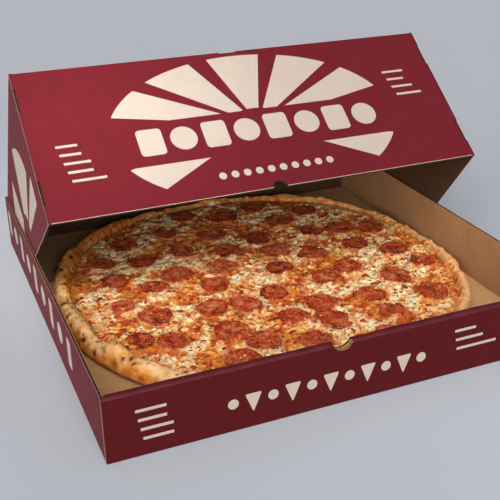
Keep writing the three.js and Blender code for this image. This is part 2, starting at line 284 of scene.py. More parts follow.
def piece(name, body, slot, material, points, faces, fields=None, replaces=(), crease=40):
    """Put welded points and faces into a mesh object, with its fields as attributes, and tell the
    frame which body it rides on. Faces are turned so that the solid's volume is positive."""
    first, quads, triangles = weld(points, faces)
    points = points[first]
    if volume(points, quads) + volume(points, triangles) < 0:
        quads, triangles = quads[:, ::-1], triangles[:, ::-1]
    mesh = bpy.data.meshes.new(name)
    mesh.vertices.add(len(points))
    mesh.vertices.foreach_set("co", points.astype(np.float32).ravel())
    corners = np.concatenate([quads.ravel(), triangles.ravel()])
    starts = np.concatenate([np.arange(len(quads)) * 4, len(quads) * 4 + np.arange(len(triangles)) * 3])
    mesh.loops.add(len(corners))
    mesh.loops.foreach_set("vertex_index", corners.astype(np.int32))
    mesh.polygons.add(len(starts))
    mesh.polygons.foreach_set("loop_start", starts.astype(np.int32))
    mesh.polygons.foreach_set("use_smooth", np.ones(len(starts), bool))
    mesh.update(calc_edges=True)
    if mesh.validate():
        raise RuntimeError(f"{name} has faulty faces")
    mesh.set_sharp_from_angle(angle=math.radians(crease))
    for name_of_field, values in (fields or {}).items():
        values = np.asarray(values, float)[first]
        kind, key = "FLOAT", "value"
        if values.ndim > 1:
            kind, key = "FLOAT_COLOR", "color"
            values = np.concatenate([values, np.ones((len(values), 1))], 1)
        made = mesh.attributes.new(name_of_field, kind, "POINT")
        made.data.foreach_set(key, values.astype(np.float32).ravel())
    obj = bpy.data.objects.new(name, mesh)
    bpy.context.scene.collection.objects.link(obj)
    mesh.materials.append(material)
    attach(obj, body)
    if replaces:
        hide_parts(*replaces)
    return obj


# ---- random fields ----
def field(points, size, seed):
    """A smooth random field from -1 to 1: random values at the corners of a lattice with cells of
    that size, blended by a fifth-order curve."""
    scaled = np.asarray(points, float) / size
    cell = np.floor(scaled).astype(np.int64)
    part = scaled - cell
    blend = part ** 3 * (part * (part * 6 - 15) + 10)
    total = np.zeros(scaled.shape[:-1])
    for corner in np.ndindex(*(2,) * scaled.shape[-1]):
        mixed = np.full(total.shape, seed * 2654435761, np.int64)
        weight = np.ones(total.shape)
        for axis, side in enumerate(corner):
            mixed ^= (cell[..., axis] + side) * (73856093, 19349663, 83492791)[axis]
            weight *= blend[..., axis] if side else 1 - blend[..., axis]
        mixed = (mixed ^ (mixed >> 13)) * 1274126177 & 0xFFFFFFFF
        mixed = (mixed ^ (mixed >> 15)) * 2246822519 & 0xFFFFFFFF
        total += weight * (mixed / 0x7FFFFFFF - 1)
    return total


def rough(points, size, seed, octaves=3):
    """Fields at that size, half of it and so on, each half as strong."""
    return sum(field(points, size / 2 ** k, seed + k) / 2 ** k for k in range(octaves))


def step(value, low, high):
    """0 below low, 1 above high, and a smooth S between."""
    share = np.clip((value - low) / (high - low), 0, 1)
    return share * share * (3 - 2 * share)


def glaze(tint, *coats):
    """Colours with coats laid over them in order, each a (colour, share) where share 1 hides all."""
    for coat, share in coats:
        share = np.asarray(share)[..., None]
        tint = tint * (1 - share) + linear(coat) * share
    return tint


def ramp(value, *stops):
    """Colours between stops of (value, colour)."""
    at, tones = [stop[0] for stop in stops], np.array([linear(stop[1]) for stop in stops])
    return np.stack([np.interp(value, at, tone) for tone in tones.T], -1)


def scattered(random, number, reach):
    """Even random places in a disc."""
    far = np.sqrt(random.uniform(0, 1, number)) * reach
    way = random.uniform(0, TURN, number)
    return far * np.cos(way), far * np.sin(way)


# ---- materials ----
PULP = 22 * MM  # clouds of thicker and thinner pulp
# Real fibres are finer than a tenth of a millimetre. They are drawn about ten times as coarse, so
# that they show.
FIBRE = 1.1 * MM
RUB = 6 * MM  # rubbed places on high fibres
GATHER = 16 * MM  # patches in which specks on food gather


def add(tree, kind, inputs=None, stops=(), **settings):
    """Add one shader node with its settings, and fill or link its sockets. A node given as an input
    stands for its first output."""
    made = tree.nodes.new("ShaderNode" + kind)
    for key, value in settings.items():
        setattr(made, key, value)
    for number, (at, value) in enumerate(stops):
        elements = made.color_ramp.elements
        element = elements[number] if number < 2 else elements.new(at)
        element.position = at
        element.color = rgba(value)
    for socket, value in (inputs or {}).items():
        if isinstance(value, bpy.types.Node):
            value = value.outputs[0]
        if isinstance(value, bpy.types.NodeSocket):
            tree.links.new(value, made.inputs[socket])
        else:
            made.inputs[socket].default_value = value
    return made


def new_material(name):
    """An empty node material, its tree and the place that its patterns read."""
    material = bpy.data.materials.new(name)
    material.use_nodes = True
    material.node_tree.nodes.clear()
    return material, material.node_tree, add(material.node_tree, "TexCoord").outputs["Object"]


def rgba(value):
    """A grey or a colour as four numbers, with full cover."""
    return (*np.broadcast_to(value, 3), 1)


def paper_material(name, base, roughness, sheen, mottle, fibre, scuff):
    """Paper liner: cloudy mottle where the pulp is thicker, fine fibres, and scuffs on the high ones."""
    material, tree, place = new_material(name)
    cloud, strand, worn = (add(tree, "TexNoise", {"Vector": place, "Scale": 1 / size, "Detail": detail})
                           for size, detail in ((PULP, 4.0), (FIBRE, 3.0), (RUB, 6.0)))
    base = np.array(base)
    clouded = add(tree, "ValToRGB", {0: cloud}, [(0.3, base * (1 - mottle)), (0.72, base * (1 + mottle))])
    fine = add(tree, "ValToRGB", {0: strand}, [(0.35, 1 - fibre), (0.65, 1)])
    fibred = add(tree, "Mix", {0: 1.0, 6: clouded, 7: fine}, data_type="RGBA", blend_type="MULTIPLY")
    rub = add(tree, "ValToRGB", {0: worn}, [(0.66, 0), (0.8, scuff)])
    pale = np.minimum(base * 1.5 + 0.08, 1)
    shown = add(tree, "Mix", {0: rub, 6: fibred.outputs[2], 7: rgba(pale)}, data_type="RGBA")
    relief = add(tree, "Bump", {"Height": strand, "Strength": 0.25, "Distance": 0.1 * MM})
    shader = add(tree, "BsdfPrincipled", {"Base Color": shown.outputs[2], "Roughness": roughness,
                                          "IOR": 1.5, "Specular IOR Level": sheen, "Normal": relief})
    add(tree, "OutputMaterial", {"Surface": shader})
    return material


def specked(tree, place, shown, spacing, share, speck):
    """Ragged specks: cells of that spacing, pushed out of shape, of which a share are filled. They
    gather in patches."""
    push = add(tree, "TexNoise", {"Vector": place, "Scale": 1.2 / spacing, "Detail": 2.0})
    bent = add(tree, "VectorMath", {0: push.outputs["Color"], 1: (1.6 * spacing,) * 3, 2: place},
               operation="MULTIPLY_ADD")
    cells = add(tree, "TexVoronoi", {"Vector": bent, "Scale": 1 / spacing})
    near = add(tree, "MapRange", {"Value": cells.outputs["Distance"], "From Min": 0.42, "From Max": 0.28})
    lot = add(tree, "SeparateColor", {0: cells.outputs["Color"]})
    patch = add(tree, "TexNoise", {"Vector": place, "Scale": 1 / GATHER, "Detail": 1.0})
    chance = add(tree, "Math", {0: patch, 1: 2 * share, 2: -0.5 * share}, operation="MULTIPLY_ADD")
    some = add(tree, "Math", {0: lot, 1: chance}, operation="LESS_THAN")
    both = add(tree, "Math", {0: near, 1: some}, operation="MULTIPLY")
    return add(tree, "Mix", {0: both, 6: shown, 7: rgba(linear(speck))}, data_type="RGBA").outputs[2]


def food_material(name, roughness, grain, contrast, relief, sheen, specks=()):
    """Cooked food: the piece's own tint, broken up by grain of that size in metres, glossier where
    the piece's gloss says that oil lies on it. Specks are (spacing, share, colour)."""
    material, tree, place = new_material(name)
    tint = add(tree, "Attribute", attribute_name="tint").outputs["Color"]
    gloss = add(tree, "Attribute", attribute_name="gloss").outputs["Fac"]
    fine = add(tree, "TexNoise", {"Vector": place, "Scale": 1 / grain, "Detail": 5.0, "Roughness": 0.6})
    shade = add(tree, "ValToRGB", {0: fine}, [(0.34, 1 - contrast), (0.62, 1)])
    shown = add(tree, "Mix", {0: 1.0, 6: tint, 7: shade}, data_type="RGBA", blend_type="MULTIPLY").outputs[2]
    for speck in specks:
        shown = specked(tree, place, shown, *speck)
    oily = add(tree, "MapRange", {"Value": gloss, "To Min": roughness, "To Max": 0.2})
    bumps = add(tree, "Bump", {"Height": fine, "Strength": 0.6, "Distance": relief})
    shader = add(tree, "BsdfPrincipled", {"Base Color": shown, "Roughness": oily, "IOR": 1.46,
                                          "Specular IOR Level": sheen, "Normal": bumps})
    add(tree, "OutputMaterial", {"Surface": shader})
    return material


# Each paper: the setting with its colour, then its roughness, sheen, mottle, fibre and scuff.
PAPERS = {
    # Bleached liner with satin flexo ink all over: even red, slightly cloudy, a faint sheen.
    "flexo_printed_lid_liner": ("lid_red", 0.55, 0.09, 0.05, 0.1, 0.1),
    "flexo_printed_tray_liner": ("tray_red", 0.55, 0.09, 0.05, 0.1, 0.1),
    # Unbleached kraft, calendered: dull brown, with fibres and darker clouds of pulp.
    # The lid's kraft, also on the tray's rear wall, is darker than the tray's: painted shade.
    "kraft_lid_liner": ("lid_kraft", 0.85, 0.25, 0.08, 0.22, 0.1),
    "kraft_tray_liner": ("tray_kraft", 0.85, 0.25, 0.08, 0.22, 0.1),
    # The floor's kraft is a paler copy of the tray's: painted light where the floor lies lit.
    "kraft_floor_liner": ("floor_kraft", 0.85, 0.25, 0.08, 0.22, 0.1),
    # The waved paper inside the board: recycled pulp, darkened as painted shade so that a cut edge shows
    # dark cells.
    "recycled_fluting_medium": ("flutes", 0.9, 0.2, 0.12, 0.25, 0.05),
    # Cream flexo ink over the red: matt, with a trace of the liner's clouds.
    "cream_flexo_ink": ("cream", 0.55, 0.4, 0.03, 0.06, 0.05),
    # The printed liner's own paper where it was cut: pale, matt and fibrous, a thin bright line.
    "bleached_liner_cut_edge": ("bleached", 0.85, 0.2, 0.05, 0.2, 0.1),
    # Ink stretched and rubbed along the rolled edge: paler in patches, and partly a painted highlight along
    # the roll's top.
    "ink_rubbed_and_highlit_on_a_fold": ("worn_and_highlit_red", 0.6, 0.2, 0.28, 0.3, 0.4),
}


def paper(name):
    """The paper of that name, made once."""
    setting, *finish = PAPERS[name]
    made = bpy.data.materials.get(name)
    return made or paper_material(name, getattr(bpy.context.scene.pizza_board, setting), *finish)


# ---- corrugated boards ----
OUTER = 0.12 * MM  # the papers lie this far inside the frame's faces
SHY = 0.1 * MM  # and their ends this far inside the frame's ends
FOLD_R = 1.4 * MM  # a scored fold's rounding
FILM = (0.02 * MM, 0.3 * MM)  # depths of a film's face and of its root in the paper
PANEL = 10 * MM  # spacing of a liner's points
FINE = 0.01 * MM  # the width of a step that has to look sheer


def flat_board(origin, across, along, inward):
    """Place points on a flat board: origin plus s along the one way, u along the flutes, and depth."""
    origin, across, along, inward = (np.asarray(v, float) for v in (origin, across, along, inward))

    def place(s, u, depth):
        s, u, depth = np.broadcast_arrays(s, u, depth)
        return origin + s[..., None] * across + u[..., None] * along + depth[..., None] * inward

    return place


def layer(place, s, low, high, outer, inner, rows=2):
    """One paper of a board, closed between two depths that may vary with s: a grid of s by rows
    steps from low to high along the flutes."""
    share = np.linspace(0, 1, rows)[None, :]
    u = low[:, None] + (high - low)[:, None] * share
    outer, inner = (np.broadcast_to(depth, s.shape)[:, None] for depth in (outer, inner))
    return shell(place(s[:, None], u, outer), place(s[:, None], u, inner))


def layers(place, s, low, high, notch, outer, inner, rows=2):
    """One paper of a board, in one part, or in two where there is a notch: (middle, half-gap at s).
    Low and high are numbers, or functions of s."""
    low, high = (np.broadcast_to(end(s) if callable(end) else end, s.shape) for end in (low, high))
    ends = [(low, high)]
    if notch:
        middle, gap = notch
        ends = [(low, middle - gap(s)), (middle + gap(s), high)]
    return [layer(place, s, a, b, outer, inner, rows) for a, b in ends]


def rounded(s, start, end, folds):
    """How far the outer paper sinks near a folded end: a quarter circle of the fold's radius."""
    sink = np.zeros(s.shape)
    for near, folded in zip((s - start, end - s), folds):
        if folded:
            left = np.clip(FOLD_R - near, 0, FOLD_R)
            sink += FOLD_R - np.sqrt(FOLD_R ** 2 - left ** 2)
    return sink


def board_papers(place, span, low, high, notch=None, breaks=(), mitre=(0, 0), folds=(False, False), rows=2):
    """The printed, bare and waved papers of a corrugated board, each a list of solids. The waved one
    is a sine wave with the flute pitch, between the two liners. A mitred end shortens with depth."""
    settings = bpy.context.scene.pizza_board
    start, end = span
    inner_face = BOARD - OUTER
    liner, half = settings.liner, settings.medium / 2

    def columns(depth, pitch):
        first, last = start + mitre[0] * depth / BOARD, end - mitre[1] * depth / BOARD
        even = np.linspace(first, last, max(2, int(round((last - first) / pitch)) + 1))
        extra = [b for b in breaks if first < b < last]
        extra += [first + FOLD_R * k / 4 for k in range(1, 5)] if folds[0] else []
        extra += [last - FOLD_R * k / 4 for k in range(1, 5)] if folds[1] else []
        return np.unique(np.concatenate([even, extra]))

    s = columns(OUTER, PANEL)
    outer = OUTER + rounded(s, start, end, folds)
    printed = layers(place, s, low, high, notch, outer, outer + liner, rows)
    s = columns(inner_face, PANEL)
    kraft = layers(place, s, low, high, notch, inner_face - liner, inner_face, rows)
    s = columns(BOARD / 2, settings.flute / 10)
    swing = (inner_face - OUTER) / 2 - liner - half
    wave = BOARD / 2 + swing * np.sin(TURN * s / settings.flute)
    wave = np.maximum(wave, OUTER + rounded(s, start, end, folds) + liner + half)
    return printed, kraft, layers(place, s, low, high, notch, wave - half, wave + half)


def board_pieces(node, body, printed, kraft, waved):
    """The printed, the bare and the waved paper of one frame node, as pieces that stand for it."""
    ink = "tray" if node in ("tray_front_wall", "tray_floor") else "lid"
    # The rear wall takes the lid's darkened kraft, which is painted shade, and the floor its paler kraft,
    # which is painted light.
    liner = {"tray_floor": "floor", "tray_rear_wall": "lid"}.get(node, node.split("_")[0])
    for ending, slot, name, parts in (
            ("print", "printed_board", f"flexo_printed_{ink}_liner", printed),
            ("kraft", "kraft_board", f"kraft_{liner}_liner", kraft),
            ("flutes", "kraft_board", "recycled_fluting_medium", waved)):
        piece(f"{node}_{ending}", body, slot, paper(name), *join(parts), replaces=[node])


# ---- the tray ----
ROLL_R = 3.5 * MM
NOTCH = (CORNER[0] + 244 * MM, 11.5 * MM, FRONT_HIGH[2] + 1 * MM)  # middle x, radius, middle height
DENT = 0.9 * MM  # how far the roll's top is pressed in at most


def front_profile():
    """The rolled front wall from the side: up the outside, round the top and down the inside, as
    tables of distance, y, z and the inward direction."""
    y0, y1, top = FRONT_LOW[1], FRONT_HIGH[1], FRONT_HIGH[2]
    turn = np.radians(np.linspace(180, 90, 10))

    def bend(middle, turn):
        c, s = np.cos(turn), np.sin(turn)
        return np.stack([middle + ROLL_R * c, top - ROLL_R + ROLL_R * s, -c, -s], 1)

    line = np.concatenate([[(y0, 0.5 * MM, 1, 0)], bend(y0 + ROLL_R, turn),
                           bend(y1 - ROLL_R, turn - math.pi / 2), [(y1, BOARD + GAP, -1, 0)]])
    distance = np.concatenate([[0], np.cumsum(np.hypot(*np.diff(line[:, :2], axis=0).T))])
    return distance, line


def front_board():
    """Place points on the rolled wall: the profile's point, plus depth along its inward direction.
    The roll's top is pressed in by a slow random field along X."""
    distance, line = front_profile()

    def place(s, u, depth):
        s, u, depth = np.broadcast_arrays(s, u, depth)
        y, z, ny, nz = (np.interp(s, distance, line[:, k]) for k in range(4))
        press = DENT * step(z, FRONT_HIGH[2] - 9 * MM, FRONT_HIGH[2])
        dent = press * (0.5 + 0.5 * field(np.stack([u, s * 0.3], -1), 34 * MM, 5))
        return np.stack([u, y + (depth + dent * 0.3) * ny, z + depth * nz - dent], -1)

    return place, distance, line


def front_wall():
    """The rolled wall as one long board, narrower where it runs down inside, with its thumb notch."""
    place, distance, line = front_board()
    side = BOARD + GAP
    inside = distance[np.argmax(line[:, 0] > FRONT_LOW[1] + BOARD)]

    def low(s):
        return np.where(s < inside, FRONT_LOW[0], FRONT_LOW[0] + side)

    def high(s):
        return np.where(s < inside, FRONT_HIGH[0], FRONT_HIGH[0] - side)

    def gap(s):
        z = np.interp(s, distance, line[:, 1])
        return np.sqrt(np.maximum(NOTCH[1] ** 2 - (z - NOTCH[2]) ** 2, 0))

    round_notch = [d for d in np.arange(0, distance[-1], 0.7 * MM)
                   if np.interp(d, distance, line[:, 1]) > NOTCH[2] - NOTCH[1] - 1 * MM]
    # A band of paler ink over the roll's top: partly wear, partly a painted highlight.
    fold = np.linspace(distance[1] + 1 * MM, distance[15], 22)
    worn = layers(place, fold, low, high, (NOTCH[0], gap), *FILM, rows=48)
    piece("front_fold_wear_and_highlight", "tray", "printed_board", paper("ink_rubbed_and_highlit_on_a_fold"), *join(worn))
    breaks = [*distance[1:-1], inside - FINE, inside, *round_notch]
    return board_papers(place, (0, distance[-1]), low, high, (NOTCH[0], gap), breaks, rows=48)


def side_wall(low, high, side):
    """A side wall, on the left (-1) or right (1): its flutes stand upright, so that their ends show
    along its top."""
    x = low[0] if side < 0 else high[0]
    place = flat_board((x, low[1], 0), (0, 1, 0), (0, 0, 1), (-side, 0, 0))
    return board_papers(place, (0, high[1] - low[1]), SHY, high[2] - SHY)


def build_tray():
    """The four walls and the floor, each a board from its lowest or foremost edge."""
    board_pieces("tray_front_wall", "tray", *front_wall())
    board_pieces("tray_left_wall", "tray", *side_wall(LEFT_LOW, LEFT_HIGH, -1))
    board_pieces("tray_right_wall", "tray", *side_wall(RIGHT_LOW, RIGHT_HIGH, 1))
    rear = flat_board((0, REAR_HIGH[1], SHY), (0, 0, 1), (1, 0, 0), (0, -1, 0))
    height = REAR_HIGH[2] - SHY
    board_pieces("tray_rear_wall", "tray",
                 *board_papers(rear, (0, height), REAR_LOW[0], REAR_HIGH[0], folds=(False, True)))
    floor = flat_board((0, FLOOR_LOW[1], 0), (0, 1, 0), (1, 0, 0), (0, 0, 1))
    board_pieces("tray_floor", "tray",
                 *board_papers(floor, (0, FLOOR_HIGH[1] - FLOOR_LOW[1]), FLOOR_LOW[0], FLOOR_HIGH[0]))


# ---- the lid ----
def unit(v):
    """A direction of length one."""
    return np.asarray(v, float) / np.linalg.norm(v)


def lid_lines():
    """The side view's ridge, free edge and foot, with the ways down each half and inwards."""
    nodes = TOP_LOW[1], TOP_LOW[2]
    slope = unit([nodes[0] - RIDGE[0], nodes[1] + BOARD * 0.8 - RIDGE[1]])
    edge = np.array([nodes[0], nodes[1] - BOARD * slope[0]])
    down_front = unit(edge - RIDGE)
    down_rear = unit(HINGE - RIDGE)
    return edge, down_front, down_rear


EDGE, DOWN_FRONT, DOWN_REAR = lid_lines()
IN_FRONT = np.array([-DOWN_FRONT[1], DOWN_FRONT[0]])
IN_REAR = np.array([DOWN_REAR[1], -DOWN_REAR[0]])
TOP_LENGTH = float(np.linalg.norm(EDGE - RIDGE))
REAR_LENGTH = float(np.linalg.norm(HINGE - RIDGE))
LID_MIDDLE = float(TOP_LOW[0] + TOP_HIGH[0]) / 2
LID_NOTCH_R = 9 * MM
RIDGE_SLOT = (11 * MM, 3 * MM)  # half-length and width


def side_to_3d(x, v):
    """A point [y, z] of the side view, at x."""
    return np.array([x, v[0], v[1]])


TOP_BOARD = flat_board(side_to_3d(0, RIDGE), side_to_3d(0, DOWN_FRONT), (1, 0, 0), side_to_3d(0, IN_FRONT))
REAR_BOARD = flat_board(side_to_3d(0, RIDGE), side_to_3d(0, DOWN_REAR), (1, 0, 0), side_to_3d(0, IN_REAR))


def slot_gap(s):
    """Half the opening at s down from the ridge: the slot that both halves of the lid share."""
    return np.where(s < RIDGE_SLOT[1], RIDGE_SLOT[0], 0.0)


def lid_gap(s):
    """Half the opening at s down the top panel: the ridge's slot, then the round thumb notch."""
    return np.maximum(slot_gap(s), np.sqrt(np.maximum(LID_NOTCH_R ** 2 - (TOP_LENGTH - s) ** 2, 0)))


def build_lid_panels():
    """The lid's two panels, mitred where they meet at the ridge at half their angle."""
    turn = math.acos(float(DOWN_REAR @ DOWN_FRONT)) / 2
    mitre = BOARD / math.tan(turn)
    slot = [RIDGE_SLOT[1] - FINE, RIDGE_SLOT[1]]
    notch = list(TOP_LENGTH - LID_NOTCH_R * np.cos(np.linspace(0, math.pi / 2, 12)))
    papers = board_papers(TOP_BOARD, (GAP, TOP_LENGTH), TOP_LOW[0], TOP_HIGH[0], (LID_MIDDLE, lid_gap),
                          slot + notch, (mitre, 0), (True, False))
    board_pieces("lid_top_panel", "lid_front", *papers)
    papers = board_papers(REAR_BOARD, (GAP, REAR_LENGTH - 2 * GAP), SLOPE_LOW[0], SLOPE_HIGH[0],
                          (LID_MIDDLE, slot_gap), slot, (mitre, BOARD), (True, True))
    board_pieces("lid_rear_panel", "lid_rear", *papers)


FLAP_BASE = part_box("lid_left_flap")[0][2]
# y where each flap's front edge passes the wall's top
FLAP_FOOT = {"lid_left_flap": 56 * MM, "lid_right_flap": 3 * MM}
FLAP_SLOTS = (0.19, 0.81)  # middles of the crease's slots, as shares of its length
SLOT_LENGTH, SLOT_DEPTH = 31 * MM, 1.5 * MM
LIP_R = 1.6 * MM  # rounding of the liner where it wraps over a crease


def flap_outline(node):
    """A flap's outline in the lid's own side view, as (s down the top panel, t into the box): the
    crease, the slanting front edge, the base, the arc about the ridge and the rear slope."""
    heel = HINGE - DOWN_REAR * 4 * MM
    reach = np.linalg.norm(heel - RIDGE)
    start = math.atan2(*(heel - RIDGE)[::-1])
    end = math.asin((FLAP_BASE - RIDGE[1]) / reach)
    turn = np.linspace(start, end, 24)
    arc = RIDGE + reach * np.stack([np.cos(turn), np.sin(turn)], 1)
    slant = (FLAP_FOOT[node] - EDGE[0]) / (EDGE[1] - HINGE[1])
    toe = np.array([EDGE[0] + slant * (EDGE[1] - FLAP_BASE), FLAP_BASE])
    points = np.array([heel, *arc, toe, EDGE]) - RIDGE
    return points @ np.stack([DOWN_FRONT, IN_FRONT], 1)


def flap_board(node):
    """A flap as a board (s down the crease, u into the box), with its crease's end and its toe."""
    low, high = node_box(node)
    outer_x, inward = (low[0], 1) if node == "lid_left_flap" else (high[0], -1)
    place = flat_board(side_to_3d(outer_x, RIDGE), side_to_3d(0, DOWN_FRONT), side_to_3d(0, IN_FRONT),
                       (inward, 0, 0))
    toe = flap_outline(node)[-2]
    return place, TOP_LENGTH, (toe[1], toe[0])


def build_flap(node):
    """A side flap: flutes stand square to its crease. The printed liner wraps over the crease."""
    settings = bpy.context.scene.pizza_board
    place = flap_board(node)[0]
    corners = flap_outline(node)
    reach = corners[np.argsort(corners[:, 0])]
    first = corners[0]
    middles = [share * TOP_LENGTH for share in FLAP_SLOTS]
    slot_ends = [m + side * SLOT_LENGTH / 2 for m in middles for side in (-1, 1)]

    def in_slot(s):
        return sum((np.abs(s - m) < SLOT_LENGTH / 2 + FINE / 2).astype(float) for m in middles)

    def start(s):
        slope = np.where(s < 0, s * first[1] / first[0], 0)
        return slope + np.maximum(OUTER, SLOT_DEPTH * in_slot(s))

    def end(s):
        return np.maximum(np.interp(s, reach[:, 0], reach[:, 1]), start(s) + FINE)

    breaks = [0, *reach[1:-1, 0], *slot_ends, *(e + side * FINE for e in slot_ends for side in (-1, 1))]
    printed, kraft, waved = board_papers(place, (reach[0, 0], reach[-1, 0]), start, end, breaks=breaks)
    # The lip: the liner carried round the crease to meet the panel.
    lip_ends = [GAP, *slot_ends, TOP_LENGTH - FINE]
    turn = np.linspace(0, math.pi / 2, 7)
    for a, b in zip(lip_ends[::2], lip_ends[1::2]):
        s = np.linspace(a, b, 8)[:, None]
        grids = []
        for inset in (0, settings.liner):
            r = LIP_R - inset
            depth = np.concatenate([[BOARD + GAP / 2], LIP_R - r * np.sin(turn), [inset]]) + OUTER
            t = np.concatenate([[inset], LIP_R - r * np.cos(turn), [LIP_R + 1 * MM]]) + OUTER
            grids.append(place(s, t[None, :], depth[None, :]))
        printed.append(shell(*grids))
    board_pieces(node, "lid_front", printed, kraft, waved)


def build_lid():
    """The lid's two panels and its two side flaps."""
    build_lid_panels()
    build_flap("lid_left_flap")
    build_flap("lid_right_flap")


# ---- printed marks: plain shapes in cream ink ----
ALL_ROUND = np.linspace(0, TURN, 49)
BAR, BAR_SHIFT = 3.2 * MM, 2 * MM  # height of a printed bar, and how far each starts after the last
EDGE_BAND = 0.6 * MM  # width of a bare cut edge
# Slices of a fan: middle and half of each one's angle in degrees, hub, reach and band.
LID_SLICES = (*((way, 11, 0.22, 1, 0.2) for way in range(210, 331, 30)),
              *((way, 10, 0.22, 1, 0.36) for way in (32, 148)))
FLAP_SLICES = ((92, 26, 0.28, 1, 0), (172, 18, 0.28, 0.9, 0), (48, 8, 0.28, 1.15, 0))


def polygon(angles, sides):
    """Distance from the middle to a soft-cornered polygon at each angle. Sides are (direction in
    degrees, distance); the tenth power mean of their lines rounds the corners."""
    total = sum((np.maximum(np.cos(angles - math.radians(way)), 0) / far) ** 10 for way, far in sides)
    return total ** -0.1


def mark(place, middle, inner, outer, angles, stretch=(1, 1), rows=4):
    """A film in plan polar form: from inner to outer distance at each angle round its middle, which
    is (u, s), with the two ways stretched."""
    share = np.linspace(0, 1, rows)[:, None]
    inner, outer = (np.broadcast_to(r, angles.shape) for r in (inner, outer))
    far = inner + (outer - inner) * share
    u = middle[0] + far * np.cos(angles) * stretch[0]
    s = middle[1] + far * np.sin(angles) * stretch[1]
    return shell(*(place(s, u, np.full_like(s, depth)) for depth in FILM))


def disc(place, middle, radius):
    """A round film."""
    return mark(place, middle, 0, radius, ALL_ROUND)


def block(place, middle, width, height):
    """A rectangle with rounded corners, as its half-width at each height."""
    corner = 0.16 * min(width, height)
    s = height / 2 * np.sin(np.linspace(-math.pi / 2, math.pi / 2, 17))
    sink = np.clip(np.abs(s) - height / 2 + corner, 0, corner)
    half = width / 2 - corner + np.sqrt(corner ** 2 - sink ** 2)
    return layer(place, middle[1] + s, middle[0] - half, middle[0] + half, *FILM)


def wedge(place, middle, size, point=90):
    """A slice shape: a soft triangle that points down the board."""
    sides = [(point + 180, size * 0.5), (point + 68, size * 0.34), (point - 68, size * 0.34)]
    return mark(place, middle, 0, polygon(ALL_ROUND, sides), ALL_ROUND)


def stack(place, corner, pitch, *widths):
    """Plain bars of those widths in millimetres, a pitch apart one under another, each a little
    further along, as a small block of print."""
    made = []
    for k, width in enumerate(np.array(widths) * MM):
        middle = (corner[0] + width / 2 + k * BAR_SHIFT, corner[1] + k * pitch)
        made.append(block(place, middle, width, BAR))
    return made


def wheel(place, middle, stretch, slices):
    """Slices of a round. Each is (middle and half of its angle in degrees, hub, reach, band), where
    hub and reach are shares of the stretch, and the band across the middle is left out."""
    made = []
    for way, half, hub, reach, band in slices:
        angles = np.radians(np.linspace(way - half, way + half, 25))
        inner = np.clip(band / np.maximum(np.abs(np.sin(angles)), 1e-3), hub, reach)
        made.append(mark(place, middle, inner, reach, angles, stretch, rows=12))
    return made


def strip(place, start, end, width=EDGE_BAND):
    """A thin band of bare liner along a cut edge, from start to end as (u, s), on their left side."""
    start, end = np.array(start), np.array(end)
    side = unit(end - start)[::-1] * (-width, width)
    corners = np.array([[start, end], [start + side, end + side]])
    return shell(*(place(corners[..., 1], corners[..., 0], np.full((2, 2), depth)) for depth in FILM))


def cut_edges():
    """Bare edges: the lid's free edge, its flaps' creases and front edges, and the tray's upper and
    upright side edges."""
    low, high = TOP_LOW[0], TOP_HIGH[0]
    made = [strip(TOP_BOARD, (LID_MIDDLE - LID_NOTCH_R, TOP_LENGTH), (low, TOP_LENGTH)),
            strip(TOP_BOARD, (high, TOP_LENGTH), (LID_MIDDLE + LID_NOTCH_R, TOP_LENGTH))]
    for node in ("lid_left_flap", "lid_right_flap"):
        place, crease_end, toe = flap_board(node)
        made.append(strip(place, (2.6 * MM, GAP), (2.6 * MM, crease_end)))
        made.append(strip(place, (0.2 * MM, crease_end), toe, -EDGE_BAND))
    piece("lid_cut_edges", "lid_front", "printed_board", paper("bleached_liner_cut_edge"), *join(made))
    made = []
    for wall_low, wall_high, side in ((LEFT_LOW, LEFT_HIGH, -1), (RIGHT_LOW, RIGHT_HIGH, 1)):
        face = wall_low[0] if side < 0 else wall_high[0]
        place = flat_board((face, 0, 0), (0, 0, 1), (0, 1, 0), (-side, 0, 0))
        top, near, far = wall_high[2] - SHY, wall_low[1], wall_high[1]
        made.append(strip(place, (far, top), (near, top)))
        made.append(strip(place, (near, SHY), (near, top), -EDGE_BAND))
    piece("tray_cut_edges", "tray", "printed_board", paper("bleached_liner_cut_edge"), *join(made))


def left_face(x):
    """Place points on the outside of an upright board on the left: s up, u towards the front."""
    return flat_board((x, 0, 0), (0, 0, 1), (0, -1, 0), (1, 0, 0))


def row(place, first, pitch, number, *shapes):
    """Shapes a pitch apart from the first place (u, s) on, taken in turn: each (maker, its sizes)."""
    made = []
    for k in range(number):
        make, *sizes = shapes[k % len(shapes)]
        made.append(make(place, (first[0] + k * pitch, first[1]), *sizes))
    return made


def lid_marks():
    """A fan, a row of eight big blocks and discs, a row of dots, and two blocks of bars."""
    left = CORNER[0]
    made = wheel(TOP_BOARD, (left + 272 * MM, 112 * MM), (180 * MM, 104 * MM), LID_SLICES)
    made += row(TOP_BOARD, (left + 138 * MM, 118 * MM), 39 * MM, 8,
                (block, 30 * MM, 36 * MM), (disc, 16 * MM))
    made += row(TOP_BOARD, (left + 206 * MM, 176 * MM), 15 * MM, 10, (disc, 4.6 * MM))
    made += stack(TOP_BOARD, (left + 32 * MM, 108 * MM), 11.5 * MM, 24, 24, 30, 28, 38)
    made += stack(TOP_BOARD, (left + 462 * MM, 60 * MM), 12 * MM, 30, 24, 30, 36)
    piece("lid_top_marks", "lid_front", "cream_print", paper("cream_flexo_ink"), *join(made))


